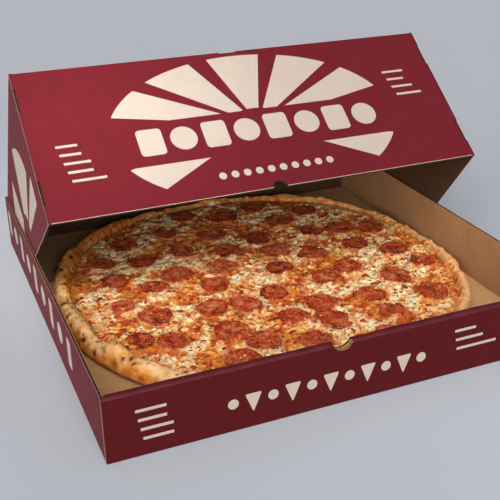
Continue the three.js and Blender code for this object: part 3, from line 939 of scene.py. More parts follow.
def wall_marks():
    """Discs and wedges between blocks of bars on the front, and blocks and discs on the left."""
    place, _, _ = front_board()
    left = CORNER[0]
    made = row(place, (left + 126 * MM, 31 * MM), 21 * MM, 11, (disc, 5.6 * MM), (wedge, 15.5 * MM, 270))
    made += stack(place, (left + 30 * MM, 50 * MM), -10.5 * MM, 30, 28, 32, 30)
    made += stack(place, (left + 376 * MM, 52 * MM), -11 * MM, 26, 34, 50)
    piece("front_wall_marks", "tray", "cream_print", paper("cream_flexo_ink"), *join(made))
    made = row(left_face(LEFT_LOW[0]), (-CORNER[1] - 508 * MM, 40 * MM), 46 * MM, 9,
               (block, 17 * MM, 34 * MM), (disc, 12 * MM))
    piece("left_wall_marks", "tray", "cream_print", paper("cream_flexo_ink"), *join(made))


def flap_marks():
    """A fan of slices on the left flap."""
    place = left_face(node_box("lid_left_flap")[0][0])
    made = wheel(place, (-100 * MM, 75 * MM), (112 * MM, 112 * MM), FLAP_SLICES)
    piece("left_flap_marks", "lid_front", "cream_print", paper("cream_flexo_ink"), *join(made))


# ---- the pizza's crust ----
RIM_GRID = (961, 74)  # points round the pizza and round the rim's face
RIM_FACE = (-78, 176)  # degrees round the rim's section: from under the outside to the inner foot
BELLY = 0.42  # the rim's widest line, as a share of its height
DOUGH_RING = 0.55  # a ring of points in the dough, as a share of the edge
BLISTERS, PITS = 260, 300
TURN_MM = 11  # length of a radian round the rim's section


def outline(angle):
    """The crust's edge from its middle, in millimetres: a round drawn out towards the box's corners,
    with three slow waves."""
    return (PIZZA_RADIUS - SQUARED * np.cos(4 * angle) + 1.2 * np.cos(2 * (angle - RIM_WIDE_AT))
            - 0.9 * np.cos(3 * angle + 0.6) + 0.5 * np.cos(7 * angle + 2))


def rim(size, varies, angle):
    """A rim size round the crust: most of it towards the front left, with small swellings."""
    return size * (1 + varies * np.cos(angle - RIM_WIDE_AT) + 0.05 * np.cos(5 * angle + 1)
                   + 0.05 * np.cos(11 * angle + 2.5) + 0.05 * np.cos(17 * angle + 0.7)
                   + 0.04 * np.cos(29 * angle + 1.9))


def rim_width(angle):
    """Width of the raised rim, in millimetres."""
    return rim(RIM_WIDTH, 0.42, angle)


def rim_height(angle):
    """Height of the raised rim, in millimetres."""
    return rim(RIM_HEIGHT, 0.2, angle)


def rim_foot(angle):
    """Where the rim's inner face meets the dough, from the pizza's middle."""
    return outline(angle) - 1.05 * rim_width(angle)


def rim_surface(angle, radius):
    """Height of the rim's upper face at a radius: half an ellipse over the rim's middle."""
    width, height = rim_width(angle), rim_height(angle)
    across = (radius - outline(angle) + width / 2) / (width / 2)
    return UNDERSIDE + height * (BELLY + (1 - BELLY) * np.sqrt(np.clip(1 - across ** 2, 0, 1)))


def food_piece(name, slot, material, points, faces, tint, gloss, replaces=(), crease=180):
    """A piece of food: its points in millimetres from the pizza's middle, with its tint and gloss."""
    piece(name, "tray", slot, material, points.reshape(-1, 3) * MM + PIZZA_MIDDLE, faces,
          {"tint": tint.reshape(-1, 3), "gloss": gloss.ravel()}, replaces, crease)


def near_spot(angles, turn, spot):
    """Which sections lie near a spot (angle, turn, size), and how far their points are from it, in
    spot sizes."""
    apart = (angles[:, 0] - spot[0] + math.pi) % TURN - math.pi
    near = np.abs(apart) * PIZZA_RADIUS < 3 * spot[2]
    along, over = apart[near, None] * PIZZA_RADIUS, (turn - spot[1]) * TURN_MM
    return near, along / spot[2], over / spot[2]


def baked_spots(angles, turn, shape, random):
    """Lift and char from blisters and pits. A blister swells, and its crown or one side of it
    catches; a pit is a small burst hole with a dark mouth. Most lie at the left and rear left."""
    lift, char = np.zeros(shape), np.zeros(shape)

    def place(number):
        angle = random.uniform(0, TURN, number)
        keen = 0.3 + 0.9 * step(np.cos(angle - math.radians(165)), -0.6, 0.5)
        return angle, keen

    for a, keen in zip(*place(BLISTERS)):
        spot = (a, math.radians(random.uniform(20, 165)), random.uniform(2.5, 7.0))
        near, along, over = near_spot(angles, turn, spot)
        bump = np.exp(-(along ** 2 + over ** 2) * 1.5)
        lift[near] += random.uniform(0.3, 1.5) * bump
        way = random.uniform(0, TURN)
        side = 0.5 + 0.5 * (along * math.cos(way) + over * math.sin(way)) / np.hypot(along, over).clip(0.2)
        burnt = random.uniform(0, 1) ** 0.9 * keen
        char[near] = np.maximum(char[near], 1.2 * burnt * bump ** 0.6 * side)
    for a, keen in zip(*place(PITS)):
        spot = (a, math.radians(random.uniform(40, 172)), random.uniform(0.9, 2.3))
        near, along, over = near_spot(angles, turn, spot)
        hole = np.exp(-(along ** 2 * random.uniform(0.4, 1) + over ** 2) * 1.3)
        lift[near] -= 0.5 * hole
        char[near] = np.maximum(char[near], random.uniform(0.1, 0.75) * keen * hole)
    return lift, char


def rim_section(angles, turn):
    """The rim's face before it is baked: an ellipse's points round each section, in millimetres,
    and its normal across and up."""
    width, height = rim_width(angles), rim_height(angles)
    middle = outline(angles) - width / 2
    rise = np.where(np.sin(turn) > 0, 1 - BELLY, BELLY - 0.02) * height
    radius = middle + width / 2 * np.cos(turn)
    return radius, UNDERSIDE + BELLY * height + rise * np.sin(turn)


def rim_colours(solid, angles, turn, char):
    """Pale and floury on top towards the front left, partly a painted highlight, golden elsewhere,
    toasted under the outside there, partly painted shade, and ochre with oil on the inside; then the char."""
    food = bpy.context.scene.pizza_food
    heat = 0.4 + 0.22 * field(solid, 26, 8) + 0.27 * rough(solid, 8, 9, 4)
    top = step(np.sin(turn), 0.3, 0.95)
    inner = step(-np.cos(turn), 0.1, 0.8) * np.ones_like(heat)
    outside = step(np.cos(turn) * 0.5 - np.sin(turn), -0.35, 0.55) * np.ones_like(heat)
    # Towards the front left, which faces the lamps, the top is made paler and more floury and the outside
    # below it darker: partly baking and flour, partly painted highlight and painted shade.
    pale = step(np.cos(angles - RIM_WIDE_AT), -0.4, 0.9)
    rear = step(np.sin(angles), -0.2, 0.9)
    bake = heat - 0.24 * pale * top + 0.24 * outside * pale + 0.1 * inner + 0.14 * rear
    tint = ramp(bake, (0.1, food.dough), (0.42, food.golden), (0.82, food.brown), (1.4, food.char))
    flour = step(rough(solid, 4, 14, 3), 0.1, 0.9) * top * (1 - inner) * (0.1 + 0.3 * pale)
    fair = 0.6 * step(np.cos(angles - RIM_FAIR_AT), 0.1, 0.9)
    tint = glaze(tint,
                 ("#d98a2e", 0.55 * inner * step(rough(solid, 6, 19, 2), -0.5, 0.5)),
                 ("#a5431a", 0.7 * inner * step(rough(solid, 8, 24, 3), 0.15, 0.6)),
                 ("#f3c468", 0.8 * inner * step(rough(solid, 6, 27, 3), 0.2, 0.65)),
                 ("#ffd596", flour),
                 ("#ddae88", fair * (1 - 0.5 * inner)),
                 ("#9a4c12", np.clip(char * 1.5, 0, 1)),
                 (food.char, step(char, 0.45, 0.9)))
    return tint, 0.1 + 0.5 * inner


def build_crust():
    """The crust as a closed section carried round: underside, an ellipse for the rim, and dough
    under the topping. Lumps, blisters and pits push the rim's face along its normal."""
    angles = np.linspace(0, TURN, RIM_GRID[0])[:, None]
    turn = np.radians(np.linspace(*RIM_FACE, RIM_GRID[1]))[None, :]
    radius, z = rim_section(angles, turn)
    solid = np.stack([radius * np.cos(angles), radius * np.sin(angles), z], -1)
    spots, char = baked_spots(angles, turn, z.shape, np.random.default_rng(11))
    lift = (1.4 * field(solid, 24, 3) + 0.9 * field(solid, 10, 4) + 0.4 * rough(solid, 4.5, 6, 3)
            + spots - 1.1)
    lift *= 1 - 0.8 * step(-np.sin(turn), -0.1, 0.8)
    radius = radius + lift * np.cos(turn)
    z = np.maximum(z + lift * np.sin(turn), UNDERSIDE)
    tint, gloss = rim_colours(solid, angles, turn, char)
    edge = outline(angles)
    # Two rings of the underside come before the rim's face, and three of the dough after it.
    pad = [(0, 0), (2, 3)]
    radius = np.concatenate([0 * edge, DOUGH_RING * edge, radius, rim_foot(angles), DOUGH_RING * edge,
                             0 * edge], 1)
    z = np.pad(z, pad, constant_values=((0, 0), (UNDERSIDE, DOUGH_TOP)))
    points = np.stack([radius * np.cos(angles), radius * np.sin(angles), z], -1)
    tint = np.pad(tint, [*pad, (0, 0)], mode="edge")
    gloss = np.pad(gloss, pad, mode="edge")
    # Baked dough: dull and floury, with toasted freckles a millimetre or two across.
    baked = food_material("baked_dough", 0.62, 0.9 * MM, 0.14, 0.4 * MM, 0.35,
                          [(3.4 * MM, 0.16, "#c27730")])
    faces = grid_faces(*z.shape)
    food_piece("pizza_crust_baked", "crust", baked, points, faces, tint, gloss, ["pizza_crust"])


# ---- the topping ----
MAP_STEP = 0.8  # spacing of the topping's maps
MAP_SIZE = 610  # points along each side of a map
TOPPED = 243  # how far from the pizza's middle shreds and herbs are strewn
DICED = 232  # and the red dice
MELT_GRID = 306  # points along each side of the cheese's own grid
DIE = np.array([[3.4, 2.2, 1.1]])  # half-sizes of a red die
LEAF = np.array([[1.2, 0.6, 0.5]])  # half-length, half-width and fold of a herb flake
LEAF_LIFT = 0.45  # how far a flake's middle lies above the topping


class Topping:
    """Square maps of the topping over the pizza's middle, in millimetres."""

    def __init__(self, settings):
        self.random = np.random.default_rng(23)
        half = MAP_SIZE * MAP_STEP / 2
        line = np.arange(MAP_SIZE) * MAP_STEP - half
        self.x, self.y = np.meshgrid(line, line, indexing="ij")
        self.angle = np.arctan2(self.y, self.x)
        self.far = np.hypot(self.x, self.y)
        self.flat = np.stack([self.x, self.y], -1)
        self.slices = [self.slice_facts(name) for name in SLICE_NODES]
        self.make(settings)

    def slice_facts(self, name):
        """(middle x, middle y, radius, top z) of a slice from the frame, in millimetres."""
        low, high = node_box(name)
        middle = ((low + high) / 2 - PIZZA_MIDDLE) / MM
        return middle[0], middle[1], (high[0] - low[0]) / 2 / MM, high[2] / MM - SLICE_SINK

    def strew(self, x, y, weight, spread):
        """A map of blurred points: weights added to their cells, then a Gaussian of that spread."""
        i = np.clip(np.round((x / MAP_STEP + MAP_SIZE / 2)).astype(int), 0, MAP_SIZE - 1)
        j = np.clip(np.round((y / MAP_STEP + MAP_SIZE / 2)).astype(int), 0, MAP_SIZE - 1)
        cells = np.bincount((i * MAP_SIZE + j).ravel(), np.broadcast_to(weight, i.shape).ravel(),
                            MAP_SIZE ** 2).reshape(MAP_SIZE, MAP_SIZE)
        wave = np.fft.fftfreq(MAP_SIZE, MAP_STEP)
        bell = np.exp(-2 * (math.pi * spread * wave) ** 2)
        blurred = np.fft.ifft2(np.fft.fft2(cells) * bell[:, None] * bell[None, :]).real
        return blurred * TURN * (spread / MAP_STEP) ** 2

    def threads(self, number, reach, bend, weight, spread):
        """Curved shreds strewn over the disc, each a short arc of ten points."""
        random = self.random
        middle_x, middle_y = scattered(random, number, TOPPED)
        turn = random.uniform(0, TURN, number)
        size = random.uniform(0.5, 1.2, number) * reach
        curve = random.uniform(-bend, bend, number)
        t = np.linspace(-0.5, 0.5, 10)[None, :]
        heading = turn[:, None] + curve[:, None] * t
        x = middle_x[:, None] + size[:, None] * t * np.cos(heading)
        y = middle_y[:, None] + size[:, None] * t * np.sin(heading)
        lot = random.uniform(0.4, 1.3, number)[:, None] * np.ones_like(t)
        return self.strew(x, y, weight * lot, spread)

    def make(self, settings):
        """Heights: shreds heaped on a base, the slices' sunken beds, cheese that has crept over their
        edges, threads across them, and the slope up the rim."""
        flat = self.flat
        self.patch = step(field(flat, 27, 91) + 0.6 * field(flat, 12, 92), -0.55, 0.5)
        shreds = self.threads(settings.shreds, 11, 2.4, 0.3, 1.15)
        self.melt = step(1 - np.exp(-shreds * (0.55 + 0.75 * self.patch)), 0.12, 0.8)
        self.fine = rough(flat, 3.0, 50, 3)
        self.lumpy = rough(flat, 7, 55, 2)
        level = CHEESE_LOW + 2.2 * self.melt + 0.5 * self.lumpy + 0.4 * self.fine
        self.near = np.full(self.far.shape, 99.0)
        self.slice_top = np.zeros(self.far.shape)
        for x, y, radius, top in self.slices:
            gap = np.hypot(self.x - x, self.y - y) - radius
            self.near = np.minimum(self.near, gap)
            self.slice_top[gap < 0] = top
        level += 0.8 * np.exp(-np.clip(self.near, 0, 99) ** 2 / 12)
        creep = step(self.near + 9 * np.clip(rough(flat, 11, 63, 3) - 0.1, 0, 0.8), 0, 1.2)
        strands = self.threads(480, 13, 2.2, 0.3, 1.0) * step(field(flat, 24, 61), -0.1, 0.5)
        self.cover = np.maximum(creep, step(1 - np.exp(-strands), 0.3, 0.6)) * (self.near < 0)
        over = self.cover > 0.04
        crept = self.slice_top - 0.9 + 1.7 * self.cover + 0.3 * self.fine
        level = np.where(over, np.maximum(level, crept), level)
        foot = rim_foot(self.angle)
        level -= 1.2 * step(self.far, foot - 9, foot + 1) * (self.far < foot)
        climb = rim_surface(self.angle, self.far) + 0.6 * rough(flat, 6, 70, 3) - 0.3
        self.level = np.where(self.far > foot - 1, np.maximum(climb, DOUGH_TOP + 0.2), level)
        self.paint(settings)

    def paint(self, settings):
        """Colours: sauce where the cheese is thin, orange where it melted into oil, cream where it
        lies thick; then browned spots, a red ring round each slice and an ochre one by the rim."""
        flat = self.flat
        streak = rough(flat, 2.4, 80, 3)
        thick = 0.2 + 0.38 * self.patch + 0.42 * self.melt + 0.3 * streak + 0.14 * self.lumpy
        crept = 0.36 + 0.35 * self.patch + 0.3 * streak + 0.12 * self.lumpy
        thick = np.clip(np.where(self.near < 0, crept, thick), 0, 1)
        tint = ramp(thick, (0.0, "#9c320c"), (0.2, settings.sauce), (0.38, "#e07a3a"), (0.56, "#f9b46c"),
                    (0.76, "#ffdb94"), (1.0, settings.cheese))
        pools = step(field(flat, 19, 90) + 0.5 * self.lumpy, -0.1, 0.7) * (1 - 0.75 * self.patch)
        pink = step(field(flat, 15, 88) + 0.4 * self.fine, 0.1, 0.7) * (1 - 0.6 * self.patch)
        browned = step(rough(flat, 4.2, 95, 3), 0.36, 0.85)
        halo = np.exp(-self.near ** 2 / 12) * step(streak, -0.7, 0.5)
        border = step(self.far, rim_foot(self.angle) - 16, rim_foot(self.angle) - 2)
        ochre = ramp(0.5 + 0.6 * self.fine, (0.1, "#9c4d14"), (0.5, "#d98d2f"), (0.9, "#f0bd6a"))
        self.tint = glaze(tint, (settings.oil, 0.65 * pools), ("#d8663e", 0.35 * pink),
                          ("#8f3d10", 0.5 * browned), ("#a83f18", 0.6 * halo),
                          (ochre, border * 0.75 * step(self.lumpy + 0.5 * streak, -0.5, 0.3)))
        self.gloss = np.clip(0.35 + 0.4 * halo + 0.4 * pools + 0.2 * self.fine - 0.2 * self.melt, 0, 1)

    def at(self, values, x, y):
        """Bilinear reading of a map at x, y."""
        i = np.clip(x / MAP_STEP + MAP_SIZE / 2, 0, MAP_SIZE - 1.001)
        j = np.clip(y / MAP_STEP + MAP_SIZE / 2, 0, MAP_SIZE - 1.001)
        i0, j0 = i.astype(int), j.astype(int)
        fi, fj = i - i0, j - j0
        if values.ndim == 3:
            fi, fj = fi[..., None], fj[..., None]
        return ((values[i0, j0] * (1 - fi) + values[i0 + 1, j0] * fi) * (1 - fj)
                + (values[i0, j0 + 1] * (1 - fi) + values[i0 + 1, j0 + 1] * fi) * fj)


TOPPING = {}


def topping():
    """The maps of the topping, made once."""
    if "made" not in TOPPING:
        TOPPING["made"] = Topping(bpy.context.scene.pizza_food)
    return TOPPING["made"]


def build_cheese():
    """The topping's upper face over a round: a square grid squeezed into a disc, x = u sqrt(1 - v v / 2)
    and likewise y, so that its cells stay even, with the height from the topping's map."""
    maps = topping()
    line = np.linspace(-1, 1, MELT_GRID)
    u, v = np.meshgrid(line, line, indexing="ij")
    x, y = u * np.sqrt(1 - v * v / 2), v * np.sqrt(1 - u * u / 2)
    angle = np.arctan2(y, x)
    round_rim = np.stack([np.cos(angle), np.sin(angle)], -1)
    climb = 3 * step(np.cos(angle - CHEESE_CLIMBS_AT), -0.3, 0.6)
    reach = rim_foot(angle) + 3.5 + climb + 4.5 * rough(round_rim, 0.06, 31, 3)
    x, y = x * reach, y * reach
    top = np.stack([x, y, maps.at(maps.level, x, y)], -1)
    points, faces, source = mound(top, DOUGH_TOP - 0.5)
    # Melted cheese: soft sheen under a film of oil, with red-brown flecks of sauce and toast.
    melted = food_material("melted_mozzarella_in_sauce", 0.45, 1.3 * MM, 0.16, 0.35 * MM, 0.3,
                           [(3.1 * MM, 0.3, "#c75a28"), (2.2 * MM, 0.15, "#8a3d14")])
    tint = maps.at(maps.tint, x, y).reshape(-1, 3)[source]
    gloss = maps.at(maps.gloss, x, y).ravel()[source]
    food_piece("pizza_topping_melt", "cheese", melted, points, faces, tint, gloss, ["pizza_cheese"])


# ---- slices, bits and herbs ----
def copies(points, faces, places):
    """A small shape at many places: its points times each scale, turned by each matrix, then moved."""
    middles, turns, scales = places
    moved = np.einsum("nij,pj,nj->npi", turns, points, scales) + middles[:, None, :]
    count_of = len(points)
    return (moved.reshape(-1, 3),
            (faces[None] + np.arange(len(middles))[:, None, None] * count_of).reshape(-1, faces.shape[1]))


def random_turns(random, number, most):
    """Turning matrices: any heading about Z, then a tilt of at most that much about a level line."""
    heading, tilt, tilt_way = (random.uniform(0, end, number) for end in (TURN, most, TURN))
    c, s = np.cos(heading), np.sin(heading)
    zero, one = np.zeros_like(c), np.ones_like(c)
    about_z = np.stack([np.stack([c, -s, zero], -1), np.stack([s, c, zero], -1),
                        np.stack([zero, zero, one], -1)], -2)
    ax, ay = np.cos(tilt_way), np.sin(tilt_way)
    c, s = np.cos(tilt), np.sin(tilt)
    lean = np.stack([np.stack([c + ax * ax * (1 - c), ax * ay * (1 - c), ay * s], -1),
                     np.stack([ax * ay * (1 - c), c + ay * ay * (1 - c), -ax * s], -1),
                     np.stack([-ay * s, ax * s, c], -1)], -2)
    return lean @ about_z


def slice_grid(facts, number, random):
    """One slice in polar form: a dished disc whose edge wanders, curls up on one side and thins to
    a soft rim. Returns its upper and lower grids, the share of the radius and the plan."""
    x, y, radius, top = facts
    share = np.concatenate([np.linspace(0, 0.88, 13), [0.94, 0.98, 1.0]])[:, None]
    angle = np.linspace(0, TURN, 45)[None, :]
    starts = random.uniform(0, 6, 3)
    wander = 0.95 + sum(size * np.cos(n * angle + start)
                        for size, n, start in zip((0.05, 0.035, 0.02), (2, 3, 7), starts))
    far = radius * share * wander
    plan = np.stack([x + far * np.cos(angle), y + far * np.sin(angle)], -1)
    curl = random.uniform(0.1, 1.1) * (0.5 + 0.5 * np.cos(angle - random.uniform(0, 6)))
    bumps = 0.3 * rough(plan, 5.0, 100 + number, 3) - 0.5 * (1 - share ** 2)
    edge = 0.6 * (1 - np.sqrt(np.clip(1 - ((share - 0.84) / 0.16).clip(0, 1) ** 2, 0, 1)))
    upper = top + curl * share ** 3 + bumps - edge
    lower = upper - SLICE_THICK + SLICE_THIN * step(share, 0.8, 1.0)
    return (np.concatenate([plan, upper[..., None]], -1), np.concatenate([plan, lower[..., None]], -1),
            share * np.ones_like(angle), plan)


def build_pepperoni():
    """All the slices as one piece: brick red with paler fat, darker and toasted at the edge."""
    food = bpy.context.scene.pizza_food
    maps = topping()
    random = np.random.default_rng(31)
    parts, tints, glosses = [], [], []
    for number, facts in enumerate(maps.slices):
        upper, lower, share, plan = slice_grid(facts, number, random)
        parts.append(shell(upper, lower))
        mottle = rough(plan, 7.5, 140 + number, 4)
        value = random.uniform(0.4, 0.75) + 0.5 * mottle - 0.36 * step(share + 0.12 * mottle, 0.76, 1.0)
        tint = ramp(value, (0.0, "#701a0a"), (0.3, "#982c14"), (0.55, food.meat), (0.85, "#c9572f"),
                    (1.1, "#da7f56"))
        gloss = np.clip(0.45 + 0.55 * step(field(plan, 12, 180 + number), -0.2, 0.6), 0, 1)
        tints += [tint.reshape(-1, 3)] * 2
        glosses += [gloss.ravel()] * 2
    # Cured pepperoni: shiny with fat, ragged pale flecks of fat and dark ones of lean.
    cured = food_material("cured_pepperoni_with_fat", 0.42, 1.1 * MM, 0.3, 0.35 * MM, 0.35,
                          [(1.7 * MM, 1.1, "#de9a70"), (2.3 * MM, 0.8, "#74200a")])
    food_piece("pepperoni_slices", "pepperoni", cured, *join(parts), np.concatenate(tints),
               np.concatenate(glosses), SLICE_NODES, crease=60)


def pebble(rings, sides, power):
    """A soft-cornered block: a sphere's latitude and longitude with both sines and cosines raised
    to a power under one."""
    up = np.linspace(-math.pi / 2, math.pi / 2, rings)[:, None]
    way = np.linspace(0, TURN, sides + 1)[None, :]
    bowed = [np.sign(v) * np.abs(v) ** power for v in (np.cos(up), np.sin(up), np.cos(way), np.sin(way))]
    grid = np.stack([bowed[0] * bowed[2], bowed[0] * bowed[3], bowed[1] * np.ones_like(way)], -1)
    return grid.reshape(-1, 3), grid_faces(rings, sides + 1)[:, [0, 3, 2, 1]]


def top_of(maps, x, y):
    """Height of whatever lies on top at x, y: cheese or slice."""
    slices = maps.at(maps.slice_top * (maps.near < 0), x, y)
    return np.maximum(maps.at(maps.level, x, y), slices)


def build_bits():
    """Small red dice between the slices: soft blocks, sunk into the cheese by half."""
    food = bpy.context.scene.pizza_food
    maps = topping()
    random = np.random.default_rng(41)
    x, y = scattered(random, food.bits * 2, DICED)
    free = maps.at(maps.near, x, y) > 2
    x, y = x[free][:food.bits], y[free][:food.bits]
    number = len(x)
    size = random.uniform(0.5, 1.3, (number, 1)) * DIE
    size = size * random.uniform(0.7, 1.3, (number, 3))
    turns = random_turns(random, number, 0.35)
    z = maps.at(maps.level, x, y) - 0.1 * size[:, 2]
    shape, faces = pebble(6, 8, 0.7)
    points, faces = copies(shape, faces, (np.stack([x, y, z], -1), turns, size))
    value = np.repeat(random.uniform(0, 1, number), len(shape)) + 0.2 * rough(points, 2.4, 44, 2)
    tint = ramp(value, (0.0, "#8a2412"), (0.5, "#b5432a"), (1.0, "#cf6f4c"))
    # Stewed tomato: wet and translucent-looking, bright where the skin is thin.
    soft = food_material("stewed_red_dice", 0.3, 1.2 * MM, 0.25, 0.2 * MM, 0.5)
    food_piece("red_dice", "pepperoni", soft, points, faces, tint, np.full(len(points), 0.6))


def build_herbs():
    """Dried herb flakes: small bent leaves, each a closed four-cornered plate folded down its middle."""
    food = bpy.context.scene.pizza_food
    maps = topping()
    random = np.random.default_rng(51)
    x, y = scattered(random, int(food.flakes * 1.6), TOPPED)
    likely = 0.75 + 0.6 * field(np.stack([x, y], -1), 28, 52) - 0.35 * (maps.at(maps.near, x, y) < 0)
    keep = random.uniform(0, 1, len(x)) < likely
    x, y = x[keep][:food.flakes], y[keep][:food.flakes]
    number = len(x)
    across = np.array([-1.0, 0.0, 1.0])
    grid = np.stack(np.meshgrid(across, across, indexing="ij"), -1)
    taper = 1 - 0.55 * np.abs(grid[..., :1])
    leaf = np.concatenate([grid[..., :1], grid[..., 1:] * taper, 0.35 * np.abs(grid[..., 1:])], -1)
    shape, faces = shell(leaf, leaf - np.array([0, 0, 0.45]))
    size = random.uniform(0.6, 1.35, (number, 1)) * LEAF
    turns = random_turns(random, number, 0.6)
    z = top_of(maps, x, y) + LEAF_LIFT
    points, faces = copies(shape, faces, (np.stack([x, y, z], -1), turns, size))
    value = np.repeat(random.uniform(0, 1, number), len(shape))
    tint = ramp(value, (0.0, "#2b210e"), (0.7, food.herb), (1.0, "#6a5c2c"))
    # Dried leaf: dull and almost black-green.
    dry = food_material("dried_herb_leaf", 0.8, 0.6 * MM, 0.25, 0.05 * MM, 0.25)
    food_piece("herb_flakes", "herbs", dry, points, faces, tint, np.zeros(len(points)), crease=30)


# ---- the stage ----
CAMERA = {"place": (-0.3962, -0.9179, 0.5267), "yaw": 22.771, "pitch": 25.353, "roll": -0.538}
SKY = ((0.9, 0.885, 0.88, 1), 0.38)  # tone and strength
KEY_WAY = (1.5, 2.65, -1.95)
WARM = (1.0, 0.97, 0.95)
# Soft square lamps: place, what each faces, its side in metres, watts, tone and spread in degrees.
LAMPS = {
    "lid_accent": ((-0.55, -0.75, 1.0), (-0.2, 0.04, 0.25), 0.15, 0.28, WARM, 24),
    "left_accent": ((-1.05, -0.35, 0.1), (-0.27, -0.08, 0.03), 0.2, 0.07, WARM, 30),
    "floor_accent": ((0.5, -0.6, 1.5), (0.5, -0.6, 0.0), 0.6, 0.55, (1.0, 1.0, 1.0), 50),
}


def look_towards(yaw, pitch, roll):
    """A camera's turning matrix from its heading right of +Y, its tilt down and its roll."""
    yaw, pitch, roll = (math.radians(v) for v in (yaw, pitch, roll))
    ahead = np.array([math.sin(yaw) * math.cos(pitch), math.cos(yaw) * math.cos(pitch), -math.sin(pitch)])
    level = np.array([math.cos(yaw), -math.sin(yaw), 0])
    upright = np.cross(level, ahead)
    right = math.cos(roll) * level + math.sin(roll) * upright
    up = -math.sin(roll) * level + math.cos(roll) * upright
    return np.stack([right, up, -ahead], 1)


def light(name, kind, way, place=(0, 0, 0), **settings):
    """A lamp of that kind with those settings, which faces along the way."""
    lamp = bpy.data.lights.new(name, kind)
    for key, value in settings.items():
        setattr(lamp, key, value)
    obj = bpy.data.objects.new(name, lamp)
    obj.location = place
    obj.rotation_euler = way.to_track_quat("-Z", "Y").to_euler()
    bpy.context.scene.collection.objects.link(obj)


def build_floor(tone):
    """A floor that sweeps up into a backdrop: y and z along a quarter circle, carried along x."""
    bend = np.linspace(0, math.pi / 2, 12)
    y = np.concatenate([[-4.0], np.linspace(-2, 5, 8), 5 + 2 * np.sin(bend[1:]), [7.0]])
    z = np.concatenate([[0.0], np.zeros(8), 2 - 2 * np.cos(bend[1:]), [6.0]])
    x = np.linspace(-8, 8, 9)[:, None]
    grid = np.stack([x + 0 * y, y + 0 * x, z + 0 * x], -1)
    points, faces = shell(grid, grid - np.array([0, 0, 0.02]))
    # Matt paint: almost even, with the faintest clouds.
    material, tree, place = new_material("matt_painted_floor")
    cloud = add(tree, "TexNoise", {"Vector": place, "Scale": 1.2, "Detail": 2.0})
    shade = add(tree, "ValToRGB", {0: cloud}, [(0.3, tone * 0.99), (0.7, tone)])
    shader = add(tree, "BsdfPrincipled", {"Base Color": shade, "Roughness": 0.7, "Specular IOR Level": 0.3})
    add(tree, "OutputMaterial", {"Surface": shader})
    mesh = bpy.data.meshes.new("floor")
    mesh.from_pydata(points.tolist(), [], faces.tolist())
    mesh.update()
    mesh.materials.append(material)
    floor = bpy.data.objects.new("floor", mesh)
    bpy.context.scene.collection.objects.link(floor)
    floor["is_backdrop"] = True


def build_stage():
    """The floor, the sky, the lamps and the camera."""
    scene = bpy.context.scene
    stage = scene.pizza_stage
    scene.view_settings.view_transform = "Standard"
    build_floor(np.array(stage.floor))
    scene.world = bpy.data.worlds.new("soft_sky")
    scene.world.use_nodes = True
    sky = scene.world.node_tree.nodes["Background"].inputs
    sky[0].default_value, sky[1].default_value = SKY
    light("key", "SUN", Vector(KEY_WAY), energy=4.6, angle=math.radians(75), color=(1.0, 0.98, 0.95))
    for name, (place, target, size, power, tone, spread) in LAMPS.items():
        light(name, "AREA", Vector(target) - Vector(place), place, shape="RECTANGLE", size=size,
              size_y=size, energy=power, color=tone, spread=math.radians(spread))
    camera = bpy.data.objects.new("camera", bpy.data.cameras.new("camera"))
    camera.data.sensor_width = 36
    camera.data.lens = stage.lens
    matrix = Matrix(look_towards(CAMERA["yaw"], CAMERA["pitch"], CAMERA["roll"]).tolist()).to_4x4()
    matrix.translation = CAMERA["place"]
    camera.matrix_world = matrix
    camera.data.clip_start = 0.05
    camera.data.clip_end = 30
    scene.collection.objects.link(camera)
    scene.camera = camera


# ---- the add-on ----
class PIZZA_OT_tray(bpy.types.Operator):
    """Build the tray's corrugated boards"""

    bl_idname = "pizza_box.tray"
    bl_label = "Tray"

    def execute(self, context):
        build_tray()
        return {"FINISHED"}


class PIZZA_OT_lid(bpy.types.Operator):
    """Build the lid's two halves and its side flaps"""

    bl_idname = "pizza_box.lid"
    bl_label = "Lid"

    def execute(self, context):
        build_lid()
        return {"FINISHED"}


class PIZZA_OT_marks(bpy.types.Operator):
    """Print the plain cream shapes"""

    bl_idname = "pizza_box.marks"
    bl_label = "Printed marks"

    def execute(self, context):
        lid_marks()
        wall_marks()
        flap_marks()
        cut_edges()
        return {"FINISHED"}


class PIZZA_OT_crust(bpy.types.Operator):
    """Bake the crust with its lumps and blisters"""

    bl_idname = "pizza_box.crust"
    bl_label = "Crust"

    def execute(self, context):
        build_crust()
        return {"FINISHED"}


class PIZZA_OT_cheese(bpy.types.Operator):
    """Melt the cheese over the sauce"""

    bl_idname = "pizza_box.cheese"
    bl_label = "Cheese"

    def execute(self, context):
        build_cheese()
        return {"FINISHED"}


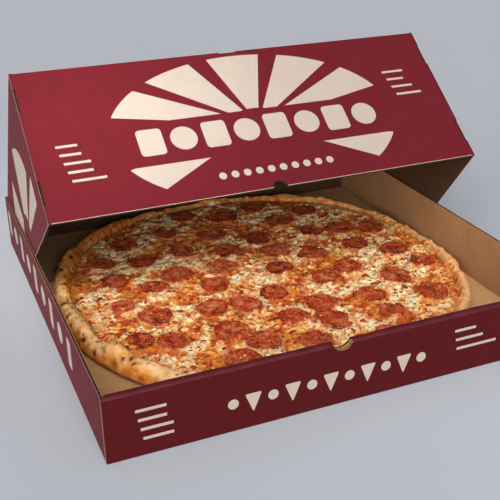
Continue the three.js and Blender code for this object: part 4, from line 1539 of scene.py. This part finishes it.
class PIZZA_OT_pepperoni(bpy.types.Operator):
    """Lay the pepperoni slices on their frame places"""

    bl_idname = "pizza_box.pepperoni"
    bl_label = "Pepperoni"

    def execute(self, context):
        build_pepperoni()
        return {"FINISHED"}


class PIZZA_OT_scatter(bpy.types.Operator):
    """Strew the red dice and the herb flakes"""

    bl_idname = "pizza_box.scatter"
    bl_label = "Dice and herbs"

    def execute(self, context):
        build_bits()
        build_herbs()
        return {"FINISHED"}


class PIZZA_OT_stage(bpy.types.Operator):
    """Set up floor, light and camera"""

    bl_idname = "pizza_box.stage"
    bl_label = "Stage"

    def execute(self, context):
        build_stage()
        return {"FINISHED"}


OPERATORS = (PIZZA_OT_tray, PIZZA_OT_lid, PIZZA_OT_marks, PIZZA_OT_crust, PIZZA_OT_cheese,
             PIZZA_OT_pepperoni, PIZZA_OT_scatter, PIZZA_OT_stage)


class PIZZA_PT_panel(bpy.types.Panel):
    """The pieces, their sizes and their colours"""

    bl_label = "Pizza box"
    bl_idname = "PIZZA_PT_panel"
    bl_space_type = "VIEW_3D"
    bl_region_type = "UI"
    bl_category = "Pizza box"

    def draw(self, context):
        for group in (context.scene.pizza_board, context.scene.pizza_food, context.scene.pizza_stage):
            for name in group.__annotations__:
                self.layout.prop(group, name)
        for operator in OPERATORS:
            self.layout.operator(operator.bl_idname)


CLASSES = (BoardSettings, PizzaSettings, StageSettings, *OPERATORS, PIZZA_PT_panel)


def register():
    for cls in CLASSES:
        bpy.utils.register_class(cls)
    bpy.types.Scene.pizza_board = PointerProperty(type=BoardSettings)
    bpy.types.Scene.pizza_food = PointerProperty(type=PizzaSettings)
    bpy.types.Scene.pizza_stage = PointerProperty(type=StageSettings)


def unregister():
    del bpy.types.Scene.pizza_stage
    del bpy.types.Scene.pizza_food
    del bpy.types.Scene.pizza_board
    for cls in reversed(CLASSES):
        bpy.utils.unregister_class(cls)


def main():
    register()
    for operator in OPERATORS:
        group, name = operator.bl_idname.split(".")
        getattr(getattr(bpy.ops, group), name)()
    boxes = {"cad": CAD_BOX, "visual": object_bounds()}
    sizes = {name: [list(corner) for corner in box] for name, box in boxes.items()}


if __name__ == "__main__":
    main()
